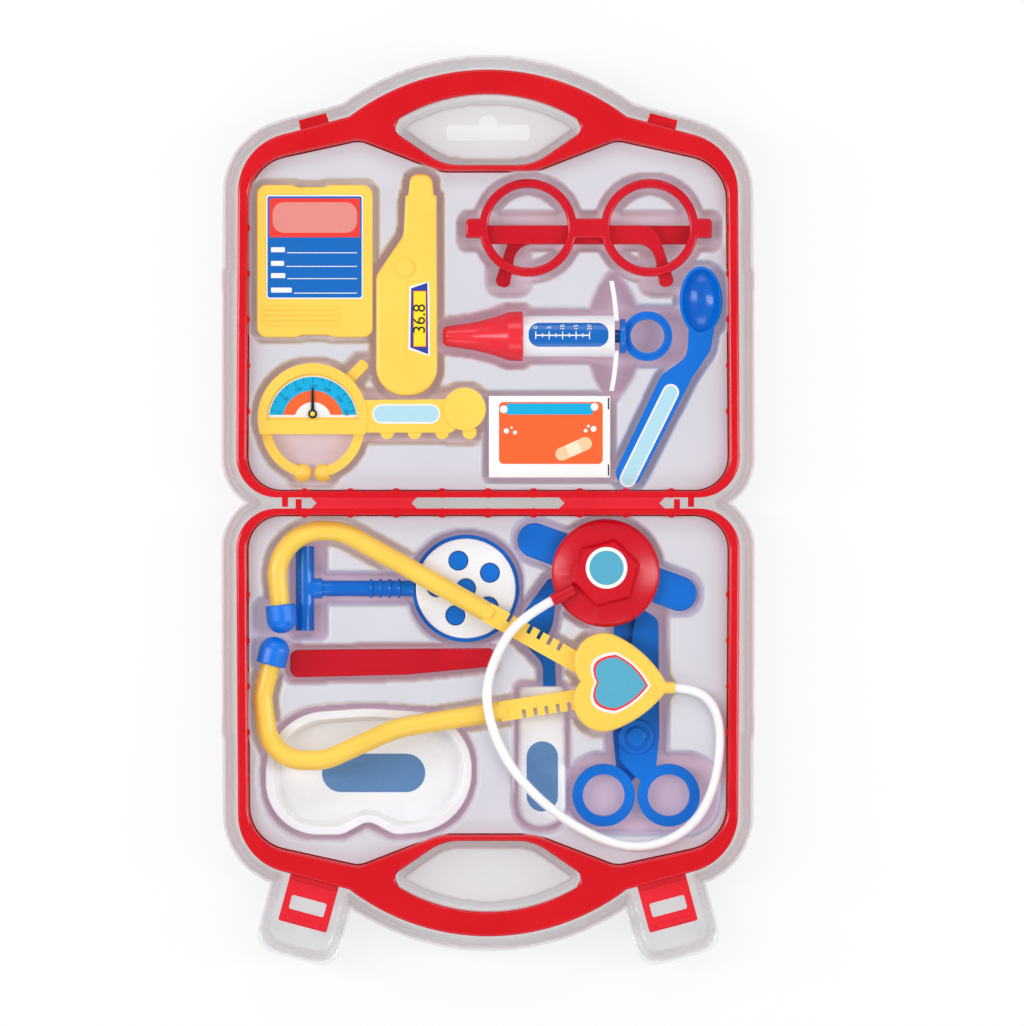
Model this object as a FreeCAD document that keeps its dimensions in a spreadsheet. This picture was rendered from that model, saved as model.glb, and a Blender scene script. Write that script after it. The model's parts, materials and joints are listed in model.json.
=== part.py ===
"""Toy doctor case, open flat in its clear display tray.

Millimetres. +X runs along the hinge, +Y from the base to the lid, +Z up out of the open case.
The origin is on the resting face, under the middle of the hinge.
"""

import FreeCAD, Part

import math
import os

import Sketcher
from FreeCAD import Placement, Rotation, Vector

doc = FreeCAD.newDocument("DoctorCase")

# Driving dimensions, in millimetres and degrees
DIMENSIONS = {
    # case halves
    "case_bottom": 0.9,
    "rim_level": 30.9,
    "case_depth": 30.0,
    "floor_depth": 27.8,
    "half_width": 123.5,
    "hinge_gap": 2.7,
    "rim_height": 10.0,
    "rim_bottom": 20.9,
    "cavity_half_width": 118.5,
    "cavity_hinge_edge": 5.7,
    "wall_draft": 2.0,
    "wall_thick": 2.5,
    "pan_round": 5.0,
    "handle_apex": 212.5,
    # hinge straps and latches
    "strap_start": 34.8,
    "strap_end": 86.7,
    "strap_thick": 0.8,
    "strap_bottom": 29.9,
    "latch_width": 24.5,
    "latch_length": 21.0,
    "latch_thick": 2.0,
    "latch_level": 25.4,
    "latch_web": 2.6,
    "latch_web_thick": 0.5,
    "catch_reach": 4.9,
    "catch_width": 14.7,
    "catch_level": 21.3,
    "catch_height": 4.4,
    # formed trays
    "land_level": 23.4,
    "sheet_thick": 0.7,
    "deep_floor": 3.8,
    "film_thick": 0.6,
    "film_wall": 18.6,
    "film_margin": 5.5,
    "film_lip": 2.5,
    # toys in the lid
    "badge_level": 18.0,
    "badge_thick": 8.6,
    "thermo_back_level": 8.0,
    "thermo_half": 9.2,
    "thermo_seam": 17.3,
    "glasses_level": 20.0,
    "glasses_thick": 4.5,
    "temple_thick": 4.0,
    "left_temple_level": 15.7,
    "right_temple_level": 11.4,
    "syringe_axis": 16.5,
    "barrel_radius": 10.3,
    "barrel_bore": 9.0,
    "barrel_length": 45.0,
    "piston_radius": 8.95,
    "ring_radius": 12.25,
    "ring_hole": 8.3,
    "ring_thick": 5.0,
    "spoon_level": 20.0,
    "spoon_thick": 4.0,
    "bowl_depth": 9.0,
    "gauge_level": 13.0,
    "gauge_thick": 11.0,
    "gauge_radius": 27.0,
    "clip_radius": 23.0,
    "clip_thick": 7.0,
    "carton_length": 59.6,
    "carton_width": 40.2,
    "carton_height": 17.0,
    "carton_level": 8.0,
    "carton_board": 0.6,
    # toys in the base
    "arm_radius": 4.9,
    "arm_level": 20.5,
    "heart_level": 18.5,
    "heart_back_thick": 5.0,
    "heart_front_level": 23.5,
    "heart_front_thick": 5.8,
    "hose_radius": 2.35,
    "spout_radius": 3.0,
    "spout_level": 26.8,
    "chest_radius": 26.6,
    "chest_level": 17.0,
    "hammer_axis": 9.4,
    "hammer_head_radius": 4.65,
    "hammer_head_length": 41.6,
    "hammer_rod_radius": 3.9,
    "disc_radius": 26.5,
    "disc_level": 4.4,
    "disc_thick": 7.0,
    "cover_radius": 24.6,
    "cover_level": 11.4,
    "cover_thick": 2.4,
    "dot_radius": 4.9,
    "tweezers_level": 5.0,
    "tweezers_thick": 9.0,
    "tweezers_gap": 4.0,
    "dish_level": 4.4,
    "dish_height": 10.6,
    "dish_wall": 1.6,
    "mirror_level": 6.0,
    "mirror_thick": 8.0,
    "leaf_thick": 3.0,
    "depressor_level": 13.4,
    "depressor_thick": 3.0,
    "blade_thick": 3.4,
    "lower_blade_level": 5.0,
    "upper_blade_level": 8.7,
    "finger_ring": 15.4,
    "finger_hole": 10.3,
    "finger_thick": 7.1,
    "rivet_radius": 4.0,
    "rivet_hole": 4.05,
}

parts_made = []
sheet = doc.addObject("Spreadsheet::Sheet", "Sizes")
for row, (alias, value) in enumerate(DIMENSIONS.items(), start=1):
    sheet.set(f"A{row}", alias)
    sheet.set(f"B{row}", str(value))
    sheet.setAlias(f"B{row}", alias)
doc.recompute()


def size(alias):
    """The number in one aliased cell."""
    return float(sheet.get(alias))


def cell(alias):
    """An expression that reads one aliased cell."""
    return "Sizes." + alias


# Outlines


def flat(x, y):
    """A point in the plane of an outline."""
    return Vector(x, y, 0)


def corner_arc(before, point, after, radius):
    """Start, middle and end of the arc that rounds one corner."""
    back = (before - point).normalize()
    ahead = (after - point).normalize()
    half = back.getAngle(ahead) / 2
    reach = radius / math.tan(half)
    middle = point + (back + ahead).normalize() * (radius / math.sin(half) - radius)
    return point + back * reach, middle, point + ahead * reach


def run_edges(points, radii, closed):
    """Straight runs joined by tangent arcs; a radius of 0 leaves a sharp corner."""
    count = len(points)
    arcs = []
    for index, (point, radius) in enumerate(zip(points, radii)):
        is_end = not closed and index in (0, count - 1)
        if is_end or radius == 0:
            arcs.append((point, None, point))
        else:
            arcs.append(corner_arc(points[index - 1], point, points[(index + 1) % count], radius))
    edges = []
    for index, (start, middle, end) in enumerate(arcs):
        if middle is not None:
            edges.append(Part.Arc(start, middle, end))
        last = index == count - 1
        following = arcs[(index + 1) % count][0]
        if (closed or not last) and (following - end).Length > 1e-6:
            edges.append(Part.LineSegment(end, following))
    return edges


def outline(corners, via=None):
    """Edges of a closed outline of (x, y, radius) corners; via closes it with an arc through that point."""
    points = [flat(x, y) for x, y, radius in corners]
    radii = [radius for x, y, radius in corners]
    edges = run_edges(points, radii, via is None)
    if via is not None:
        edges.append(Part.Arc(points[-1], flat(*via), points[0]))
    return edges


def rectangle(x0, y0, x1, y1, radius=0):
    """A rectangle with rounded corners."""
    return outline([(x0, y0, radius), (x1, y0, radius), (x1, y1, radius), (x0, y1, radius)])


def circle(x, y, radius):
    """A full circle."""
    return [Part.Circle(flat(x, y), Vector(0, 0, 1), radius)]


def arcs_through(points):
    """A closed outline of arcs: each goes from an even point through the next odd one."""
    count = len(points)
    edges = []
    for start in range(0, count, 2):
        ends = (points[start], points[start + 1], points[(start + 2) % count])
        edges.append(Part.Arc(*[flat(*end) for end in ends]))
    return edges


def face_of(edges):
    """A flat face inside one outline."""
    wire = Part.Wire(Part.__sortEdges__([edge.toShape() for edge in edges]))
    return Part.Face(wire)


def both_sides(corners):
    """Corners on the right, then their mirror images on the left in reverse."""
    return corners + [(-x, y, radius) for x, y, radius in reversed(corners)]


def on_side(corners, side):
    """Corners of the lid (side 1) or mirrored about the hinge to the base (side -1)."""
    return [(x, side * y, radius) for x, y, radius in corners]


# Bodies and features


def new_body(label):
    """A body for one sub-part."""
    body = doc.addObject("PartDesign::Body", label)
    body.Label = label
    parts_made.append(body)
    return body


def add_sketch(body, name, outlines, level=None, plane="XY_Plane"):
    """A sketch on one of the body's own planes, raised to a cell's level."""
    sketch = body.newObject("Sketcher::SketchObject", name)
    support = next(item for item in body.Origin.OriginFeatures if item.Role == plane)
    sketch.AttachmentSupport = [(support, "")]
    sketch.MapMode = "FlatFace"
    if level:
        sketch.setExpression("AttachmentOffset.Base.z", level)
    for edges in outlines:
        for edge in edges:
            sketch.addGeometry(edge, False)
    return sketch


def add_pad(body, name, outlines, level, length, taper=None, downward=False, plane="XY_Plane"):
    """Material from a level, along an expression's length."""
    pad = body.newObject("PartDesign::Pad", name)
    pad.Profile = add_sketch(body, name + "_sketch", outlines, level, plane)
    pad.setExpression("Length", length)
    pad.Reversed = downward
    if taper:
        pad.setExpression("TaperAngle", taper)
    return pad


def add_pocket(body, name, outlines, level, length, taper=None, plane="XY_Plane", middle=False):
    """A cut down from a level; its volume is compared before and after."""
    doc.recompute()
    before = body.Shape.Volume
    pocket = body.newObject("PartDesign::Pocket", name)
    pocket.Profile = add_sketch(body, name + "_sketch", outlines, level, plane)
    pocket.setExpression("Length", length)
    pocket.Midplane = middle
    if taper:
        pocket.setExpression("TaperAngle", taper)
    doc.recompute()
    if body.Shape.Volume > before - 1e-3:
        raise ValueError(name + " cuts nothing")
    return pocket


def add_turned(body, name, outlines, axis="V_Axis", plane="XZ_Plane"):
    """A solid of revolution about the sketch's own axis."""
    turned = body.newObject("PartDesign::Revolution", name)
    sketch = add_sketch(body, name + "_sketch", outlines, plane=plane)
    turned.Profile = sketch
    turned.ReferenceAxis = (sketch, [axis])
    turned.Angle = 360
    return turned


def add_fillet(body, name, radius, wanted):
    """Round the edges of the body's last shape that the test picks."""
    doc.recompute()
    tip = body.Tip
    picked = [f"Edge{n}" for n, edge in enumerate(tip.Shape.Edges, start=1) if wanted(edge.BoundBox)]
    fillet = body.newObject("PartDesign::Fillet", name)
    fillet.Base = (tip, picked)
    fillet.setExpression("Radius", radius)
    return fillet


def at_height(level):
    """A test for edges that lie flat at one height."""
    return lambda box: abs(box.ZMin - level) < 1e-4 and abs(box.ZMax - level) < 1e-4


def add_box(label, length, width, height, place):
    """A plain block with its sizes from three cells."""
    box = doc.addObject("Part::Box", label)
    box.Label = label
    box.setExpression("Length", cell(length))
    box.setExpression("Width", cell(width))
    box.setExpression("Height", cell(height))
    box.Placement = place
    return box


def add_shape(label, shape):
    """A sub-part from a shape worked out with plain shape functions."""
    feature = doc.addObject("Part::Feature", label)
    feature.Label = label
    feature.Shape = shape
    feature.Placement = Placement()
    parts_made.append(feature)


# Outlines of the case, on the lid's side of the hinge

HANDLE_ROOT = (68.0, 189.5)
EDGE_CORNER = (122.5, 174.8)
OUTER = both_sides(
    [(*HANDLE_ROOT, 0), (*EDGE_CORNER, 29.0), (size("half_width"), size("hinge_gap"), 20.0)]
)
OPENING = both_sides([(43.5, 188.5, 0), (46.5, 182.5, 4.0), (22.0, 165.7, 25.0)])
OPENING_APEX = 200.5
CAVITY = both_sides(
    [
        (23.0, 163.0, 18.0),
        (63.0, 178.5, 12.0),
        (117.5, 166.5, 22.0),
        (size("cavity_half_width"), size("cavity_hinge_edge"), 17.0),
    ]
)


def outer_outline(side):
    """Edge of the rim with the handle's bow."""
    return outline(on_side(OUTER, side), via=(0, side * size("handle_apex")))


def opening_outline(side):
    """The finger opening in the handle."""
    return outline(on_side(OPENING, side), via=(0, side * OPENING_APEX))


def grown(edges, margin):
    """An outline's face, larger all round by the margin, or smaller if it is negative."""
    return face_of(edges).makeOffset2D(margin)


def face_edges(face):
    """The curves round a face, for a sketch."""
    return [edge.Curve.trim(*edge.ParameterRange) for edge in face.OuterWire.Edges]


def edge_frame(side, across):
    """Point on the slanted rim edge at an x, the way along the edge and the way out of the case."""
    (x0, y0), (x1, y1) = HANDLE_ROOT, EDGE_CORNER
    share = (abs(across) - x0) / (x1 - x0)
    hand = math.copysign(1, across)
    point = flat(across, side * (y0 + share * (y1 - y0)))
    along = flat(hand * (x1 - x0), side * (y1 - y0)).normalize()
    out = flat(hand * (y0 - y1), side * (x1 - x0)).normalize()
    return point, along, out


LATCH_ACROSS = 85.0
NUB_PITCH = 22.5
NUB_RADIUS = 2.4
NUB_COUNT = 9
PEG_HALF = 1.5
PEG_REACH = 1.9


def half_shell(label, side, pegs, with_catches):
    """One moulded half: rim and handle, drafted pan, tray nubs, hinge pegs and, on the lid, the catches."""
    body = new_body(label)
    rim = [outer_outline(side), opening_outline(side)]
    add_pad(body, label + "_rim", rim, cell("rim_bottom"), cell("rim_height"))
    pan = face_edges(grown(outline(on_side(CAVITY, side)), size("wall_thick")))
    add_pad(body, label + "_pan", [pan], cell("rim_level"), cell("case_depth"), "-Sizes.wall_draft", True)
    add_pocket(
        body,
        label + "_cavity",
        [outline(on_side(CAVITY, side))],
        cell("rim_level"),
        cell("floor_depth"),
        "-Sizes.wall_draft",
    )
    add_fillet(body, label + "_round", cell("pan_round"), at_height(size("case_bottom")))
    nubs = []
    for index in range(NUB_COUNT):
        across = (index - (NUB_COUNT - 1) / 2) * NUB_PITCH
        nubs.append(circle(across, side * (size("cavity_hinge_edge") - 0.8), NUB_RADIUS))
    for hand in (-1, 1):
        for step in range(2, 7):
            beside = hand * (size("cavity_half_width") + 0.6)
            nubs.append(circle(beside, side * step * NUB_PITCH, NUB_RADIUS))
    add_pad(body, label + "_nubs", nubs, "Sizes.land_level + 1", "3.5")
    bars = []
    for across in pegs:
        near = side * (size("hinge_gap") + 1)
        far = -side * PEG_REACH
        bars.append(rectangle(across - PEG_HALF, min(near, far), across + PEG_HALF, max(near, far)))
    add_pad(body, label + "_pegs", bars, "Sizes.rim_level - 2.4", "2.2")
    if with_catches:
        catches = []
        for hand in (-1, 1):
            point, along, out = edge_frame(side, hand * LATCH_ACROSS)
            half = along * (size("catch_width") / 2)
            root = point - out * 1.5
            tip = point + out * size("catch_reach")
            ends = [root - half, root + half, tip + half * 0.94, tip - half * 0.94]
            catches.append(outline([(end.x, end.y, 0) for end in ends]))
        add_pad(body, label + "_catches", catches, cell("catch_level"), cell("catch_height"))
    return body


half_shell("base_shell", -1, (-92.8, 92.6), False)
half_shell("lid_shell", 1, (-99.5, 99.5), True)


def hinge_strap(label, hand):
    """A thin folding strap between the rims, pointed inward at both ends, grooved along its fold."""
    body = new_body(label)
    near = hand * size("strap_start")
    far = hand * size("strap_end")
    gap = size("hinge_gap")
    notch = hand * gap
    shape = [(near, -gap, 0), (far, -gap, 0), (far - notch, 0, 0)]
    shape += [(far, gap, 0), (near, gap, 0), (near + notch, 0, 0)]
    add_pad(body, label + "_sheet", [outline(shape)], cell("strap_bottom"), cell("strap_thick"))
    groove = rectangle(min(near, far), -0.6, max(near, far), 0.6)
    top = "Sizes.strap_bottom + Sizes.strap_thick"
    add_pocket(body, label + "_fold", [groove], top, "Sizes.strap_thick / 2")


hinge_strap("hinge_strap_left", -1)
hinge_strap("hinge_strap_right", 1)

WINDOW_HALF = 8.8
WINDOW_START = 8.5
WINDOW_END = 15.5
LIP_LENGTH = 3.0


def latch(label, hand):
    """A flap with a window for the lid's catch, hung on a thin web at the base's rim."""
    point, along, out = edge_frame(-1, hand * LATCH_ACROSS)
    turn = math.degrees(math.atan2(out.y, out.x)) - 90
    place = Placement(point, Rotation(Vector(0, 0, 1), turn))
    half = size("latch_width") / 2
    start = size("latch_web")
    end = start + size("latch_length")
    axis = start / 2
    body = new_body(label)
    window = rectangle(-WINDOW_HALF, axis + WINDOW_START, WINDOW_HALF, axis + WINDOW_END, 1.0)
    plate = outline([(-half, start, 0), (half, start, 0), (half, end, 1.0), (-half, end, 1.0)])
    add_pad(body, label + "_plate", [plate, window], cell("latch_level"), cell("latch_thick"))
    lip = rectangle(-half + 4, end - LIP_LENGTH, half - 4, end - 0.8, 0.8)
    add_pad(body, label + "_lip", [lip], "Sizes.latch_level + Sizes.latch_thick", "1.0")
    body.Placement = place
    web_base = Vector(-half, 0, size("latch_level") + (size("latch_thick") - size("latch_web_thick")) / 2)
    web_place = place.multiply(Placement(web_base, Rotation()))
    web = add_box(label + "_web", "latch_width", "latch_web", "latch_web_thick", web_place)
    parts_made.append(web)


latch("latch_left", -1)
latch("latch_right", 1)

# Toys in the lid

BADGE = (-113.6, 81.3, -56.6, 156.3)
BADGE_NOTCHES = ((-94.0, -76.0), (-96.0, -78.0))
NOTCH_DEPTH = 1.1
NOTCH_RUN = 2.6
RIB_END = -73.5


def badge_outline():
    """Round-cornered plate with a shallow finger notch in its lower and its upper edge."""
    x0, y0, x1, y1 = BADGE
    (low_start, low_end), (high_start, high_end) = BADGE_NOTCHES
    sunk, raised = y0 + NOTCH_DEPTH, y1 - NOTCH_DEPTH
    return outline(
        [
            (x0, y0, 5.0),
            (low_start, y0, 2.0),
            (low_start + NOTCH_RUN, sunk, 2.0),
            (low_end - NOTCH_RUN, sunk, 2.0),
            (low_end, y0, 2.0),
            (x1, y0, 5.0),
            (x1, y1, 5.0),
            (high_end, y1, 2.0),
            (high_end - NOTCH_RUN, raised, 2.0),
            (high_start + NOTCH_RUN, raised, 2.0),
            (high_start, y1, 2.0),
            (x0, y1, 5.0),
        ]
    )


def badge():
    """Name badge with a sunk field for its card and four short grip ribs."""
    x0, y0, x1, y1 = BADGE
    body = new_body("badge")
    add_pad(body, "badge_plate", [badge_outline()], cell("badge_level"), cell("badge_thick"))
    add_fillet(body, "badge_round", "1.2", at_height(size("badge_level") + size("badge_thick")))
    field = rectangle(x0 + 4.5, y0 + 18.5, x1 - 4.5, y1 - 4.8, 1.5)
    add_pocket(body, "badge_field", [field], "Sizes.badge_level + Sizes.badge_thick", "0.5")
    ribs = []
    for index in range(4):
        low = y0 + 6.0 + index * 2.6
        ribs.append(rectangle(x0 + 3, low, RIB_END, low + 1.3, 0.6))
    add_pad(body, "badge_ribs", ribs, "Sizes.badge_level + Sizes.badge_thick - 0.3", "1.0")


badge()

THERMOMETER = [
    (-24.8, 52.8, 14.0),
    (-55.0, 52.8, 14.0),
    (-55.0, 111.7, 8.0),
    (-41.6, 131.3, 8.0),
    (-40.6, 150.9, 0),
    (-39.2, 151.4, 0),
    (-38.2, 161.6, 4.5),
    (-27.6, 161.6, 4.5),
    (-26.6, 151.4, 0),
    (-25.2, 150.9, 0),
]


def thermometer():
    """Two moulded halves; the front has a round button and a raised frame round the label."""
    for label, level in (("thermometer_back", "thermo_back_level"), ("thermometer_front", "thermo_seam")):
        body = new_body(label)
        add_pad(body, label + "_half", [outline(THERMOMETER)], cell(level), cell("thermo_half"))
        outer = size(level) + (0 if level == "thermo_back_level" else size("thermo_half"))
        add_fillet(body, label + "_round", "2.0", at_height(outer))
    front = doc.getObject("thermometer_front")
    top = "Sizes.thermo_seam + Sizes.thermo_half"
    add_pad(front, "thermometer_button", [circle(-40.7, 115.6, 4.4)], top + " - 0.5", "1.4")
    frame = outline([(-40.0, 108.8, 1.5), (-28.4, 108.8, 1.5), (-27.6, 71.0, 1.5), (-40.8, 71.0, 1.5)])
    add_pocket(front, "thermometer_field", [frame], top, "0.4")


thermometer()

LENS_Y = 135.2
LENS_X = (19.6, 79.4)
LENS_OUTER = 24.0
LENS_INNER = 19.6
BAR_ENDS = (-11.0, 110.0)
BAR_LOW = 130.2
BAR_HIGH = 139.8
TEMPLE_LOW = 127.4
TEMPLE_HIGH = 136.6
KNUCKLE_LOW = 132.7
KNUCKLE_REACH = 4.5
EAR_HALF = 3.0
EAR_SPANS = ((130.4, 132.4), (136.9, 138.9))
HINGE_PIN = 1.1
HINGE_EYE = 1.15


def temple_hinges():
    """For each temple: its label, level cell, hinge x, far end and the way that it runs when folded."""
    left, right = BAR_ENDS
    return (
        ("temple_left", "left_temple_level", left + EAR_HALF, 92.0, 1),
        ("temple_right", "right_temple_level", right - EAR_HALF, 3.0, -1),
    )


def cross_pin(body, kind, name, radius, x, z, high, low):
    """A round pin or eye that runs down the page from one y to a lower one."""
    pin = body.newObject(f"PartDesign::{kind}Cylinder", name)
    pin.Radius = radius
    pin.Height = high - low
    pin.Placement = Placement(Vector(x, high, z), Rotation(Vector(1, 0, 0), 90))
    return pin


def glasses_front():
    """Front of the toy spectacles, with a pair of ears and a pin behind each end for its temple."""
    front = new_body("glasses_front")
    bar = rectangle(BAR_ENDS[0], BAR_LOW, BAR_ENDS[1], BAR_HIGH, 2.5)
    add_pad(front, "glasses_bar", [bar], cell("glasses_level"), cell("glasses_thick"))
    for index, across in enumerate(LENS_X):
        ring = [circle(across, LENS_Y, LENS_OUTER)]
        add_pad(front, f"glasses_ring_{index}", ring, cell("glasses_level"), cell("glasses_thick"))
    holes = [circle(across, LENS_Y, LENS_INNER) for across in LENS_X]
    top = "Sizes.glasses_level + Sizes.glasses_thick"
    add_pocket(front, "glasses_holes", holes, top, "Sizes.glasses_thick + 1")
    add_fillet(front, "glasses_round", "1.2", at_height(size("glasses_level") + size("glasses_thick")))
    for label, level, hinge, end, way in temple_hinges():
        ears = [rectangle(hinge - EAR_HALF, low, hinge + EAR_HALF, high, 0.8) for low, high in EAR_SPANS]
        drop = f"Sizes.glasses_level - Sizes.{level}"
        add_pad(front, label + "_ears", ears, cell("glasses_level"), drop, downward=True)
        middle = size(level) + size("temple_thick") / 2
        (low, inner), (outer, high) = EAR_SPANS
        cross_pin(front, "Additive", label + "_pin", HINGE_PIN, hinge, middle, high - 0.5, low + 0.5)


def temples():
    """Temples folded behind the front: a hooked bar with a knuckle round its hinge pin."""
    for label, level, hinge, end, way in temple_hinges():
        temple = new_body(label)
        step = hinge + way * KNUCKLE_REACH
        hook = outline(
            [
                (hinge, TEMPLE_HIGH, 0),
                (end - way * 9.5, TEMPLE_HIGH, 10.0),
                (end, 107.6, 3.0),
                (end - way * 7.4, 105.4, 3.0),
                (end - way * 11.0, TEMPLE_LOW, 9.0),
                (step, TEMPLE_LOW, 1.5),
                (step, KNUCKLE_LOW, 0),
                (hinge, KNUCKLE_LOW, 0),
            ]
        )
        add_pad(temple, label + "_bar", [hook], cell(level), cell("temple_thick"))
        half = size("temple_thick") / 2
        middle = size(level) + half
        cross_pin(temple, "Additive", label + "_knuckle", half, hinge, middle, TEMPLE_HIGH, KNUCKLE_LOW)
        doc.recompute()
        past = (TEMPLE_HIGH + 1, KNUCKLE_LOW - 1)
        cross_pin(temple, "Subtractive", label + "_eye", HINGE_EYE, hinge, middle, *past)


glasses_front()
temples()

SYRINGE_Y = 82.1
BARREL_START = 17.2
FLANGE_HALF = 27.0
FLANGE_TALL = 11.0
FLANGE_THICK = 2.2
FLANGE_BOW = 2.6
FLANGE_END = 47.2
RING_CENTRE = 78.4


def syringe():
    """Nozzle cap, hollow barrel with winged flange, and a plunger with its piston and finger ring."""
    lie = Placement(Vector(BARREL_START, SYRINGE_Y, size("syringe_axis")), Rotation())
    bore = size("barrel_bore")
    radius = size("barrel_radius")
    length = size("barrel_length")
    barrel = new_body("syringe_barrel")
    wall = outline([(0, bore, 0), (length, bore, 0), (length, radius, 0), (0, radius, 0)])
    add_turned(barrel, "syringe_wall", [wall], "H_Axis")
    inside = FLANGE_END - FLANGE_THICK
    tip = FLANGE_END - FLANGE_BOW
    back = tip - FLANGE_THICK
    flange = [
        Part.Arc(flat(tip, -FLANGE_HALF), flat(FLANGE_END, 0), flat(tip, FLANGE_HALF)),
        Part.LineSegment(flat(tip, FLANGE_HALF), flat(back, FLANGE_HALF)),
        Part.Arc(flat(back, FLANGE_HALF), flat(inside, 0), flat(back, -FLANGE_HALF)),
        Part.LineSegment(flat(back, -FLANGE_HALF), flat(tip, -FLANGE_HALF)),
    ]
    add_pad(barrel, "syringe_flange", [flange], f"{-FLANGE_TALL / 2}", f"{FLANGE_TALL}")
    add_pocket(barrel, "syringe_mouth", [circle(0, 0, bore)], "55", "20", plane="YZ_Plane")
    barrel.Placement = lie
    nozzle = new_body("syringe_nozzle")
    cap = outline(
        [
            (-39.6, 0, 0),
            (-39.6, 4.7, 3.0),
            (-24.6, 6.8, 60.0),
            (-15.0, 9.2, 40.0),
            (-7.0, 12.0, 8.0),
            (-0.1, 12.4, 0.8),
            (-0.1, 0, 0),
        ]
    )
    add_turned(nozzle, "nozzle_cap", [cap], "H_Axis")
    nozzle.Placement = lie
    plunger = new_body("syringe_plunger")
    rod = outline([(4.6, 0, 0), (4.6, 3.2, 0), (51.0, 3.2, 0), (51.0, 0, 0)])
    add_turned(plunger, "plunger_rod", [rod], "H_Axis")
    collar = outline([(47.6, 0, 0), (47.6, 8.6, 0.8), (50.6, 8.6, 0.8), (50.6, 0, 0)])
    add_turned(plunger, "plunger_collar", [collar], "H_Axis")
    centre = RING_CENTRE - BARREL_START
    ring = [circle(centre, 0, size("ring_radius"))]
    add_pad(plunger, "plunger_ring", ring, "-Sizes.ring_thick / 2", cell("ring_thick"))
    bead = [circle(centre, 0, size("ring_hole") + 1.6)]
    add_pad(plunger, "plunger_bead", bead, "-Sizes.ring_thick / 2 - 0.7", "Sizes.ring_thick + 1.4")
    hole = [circle(centre, 0, size("ring_hole"))]
    add_pocket(plunger, "plunger_hole", hole, "Sizes.ring_thick", "Sizes.ring_thick * 2")
    plunger.Placement = lie
    piston = new_body("plunger_piston")
    snug = size("piston_radius")
    head = outline([(0.6, 0, 0), (0.6, snug, 0.6), (4.6, snug, 0.6), (4.6, 0, 0)])
    add_turned(piston, "piston_head", [head], "H_Axis")
    piston.Placement = lie


syringe()

SPOON_HANDLE = [
    (98.6, 88.0, 0),
    (111.6, 88.0, 0),
    (109.4, 75.0, 12.0),
    (100.4, 61.8, 8.0),
    (72.0, 6.2, 5.8),
    (61.0, 12.2, 5.8),
    (85.0, 62.6, 5.0),
    (97.8, 72.0, 9.0),
]
BOWL_CENTRE = (104.6, 99.4)
BOWL_HALF = (10.6, 16.8)
BOWL_WALL = 1.4


def spoon():
    """Medicine spoon: a deep oval bowl on a flat handle."""
    body = new_body("spoon")
    add_pad(body, "spoon_handle", [outline(SPOON_HANDLE)], cell("spoon_level"), cell("spoon_thick"))
    rim = size("spoon_level") + size("spoon_thick")
    place = Placement(Vector(*BOWL_CENTRE, rim), Rotation())
    for kind, name, less in (("Additive", "spoon_bowl", 0), ("Subtractive", "spoon_hollow", BOWL_WALL)):
        form = body.newObject(f"PartDesign::{kind}Ellipsoid", name)
        form.setExpression("Radius1", f"Sizes.bowl_depth - {less}")
        form.Radius2 = BOWL_HALF[0] - less
        form.Radius3 = BOWL_HALF[1] - less
        form.Angle1 = -90
        form.Angle2 = 0
        form.Placement = place


spoon()

GAUGE_CENTRE = (-86.2, 41.7)
GAUGE_CUT = 33.8
GAUGE_BULB = (-11.6, 46.2)
BULB_RADIUS = 10.5
GAUGE_GRIP = [
    (-64.0, 50.6, 2.0),
    (-20.0, 51.0, 2.0),
    (-14.0, 38.0, 4.0),
    (-18.0, 34.6, 3.0),
    (-64.0, 34.6, 2.0),
]
GAUGE_STUB = [(-71.0, 62.0, 0), (-67.2, 58.2, 0), (-58.2, 67.4, 1.8), (-62.0, 71.2, 1.8)]
SCALLOP_START = -49.6
SCALLOP_PITCH = 13.5
SCALLOP_COUNT = 4
SCALLOP_Y = 34.8
SCALLOP_RADIUS = 3.4
CLIP_CENTRE = (-86.2, 37.6)
CLIP_HALF = 2.4
CLIP_START = 84.0
CLIP_END = 14.0
CLIP_BALLS = (-91.3, -81.1)
CLIP_BALL_Y = 14.8
CLIP_BALL_RADIUS = 4.6
DIAL_CUT = 41.0
DIAL_RADIUS = 22.6
NEEDLE_LENGTH = 12.7
NEEDLE_PIVOT = (-86.2, 43.8)
CARTON_X = 0.4
CARTON_Y = 12.4


def half_disc(x, cut, half, apex):
    """A straight edge closed by an arc over it."""
    left = flat(x - half, cut)
    right = flat(x + half, cut)
    return [Part.LineSegment(left, right), Part.Arc(right, flat(x, apex), left)]


def clip_arm(hand):
    """One arm of the open clip ring, from the head round to the gap at the bottom."""
    x, y = CLIP_CENTRE
    rings = []
    for radius in (size("clip_radius") + CLIP_HALF, size("clip_radius") - CLIP_HALF):
        ring = []
        for angle in (CLIP_START, (CLIP_START + CLIP_END) / 2, CLIP_END):
            swing = math.radians(angle)
            ring.append(flat(x + hand * radius * math.sin(swing), y - radius * math.cos(swing)))
        rings.append(ring)
    outer, inner = rings
    return [
        Part.Arc(*outer),
        Part.LineSegment(outer[2], inner[2]),
        Part.Arc(*inner),
        Part.LineSegment(inner[0], outer[0]),
    ]


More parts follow.
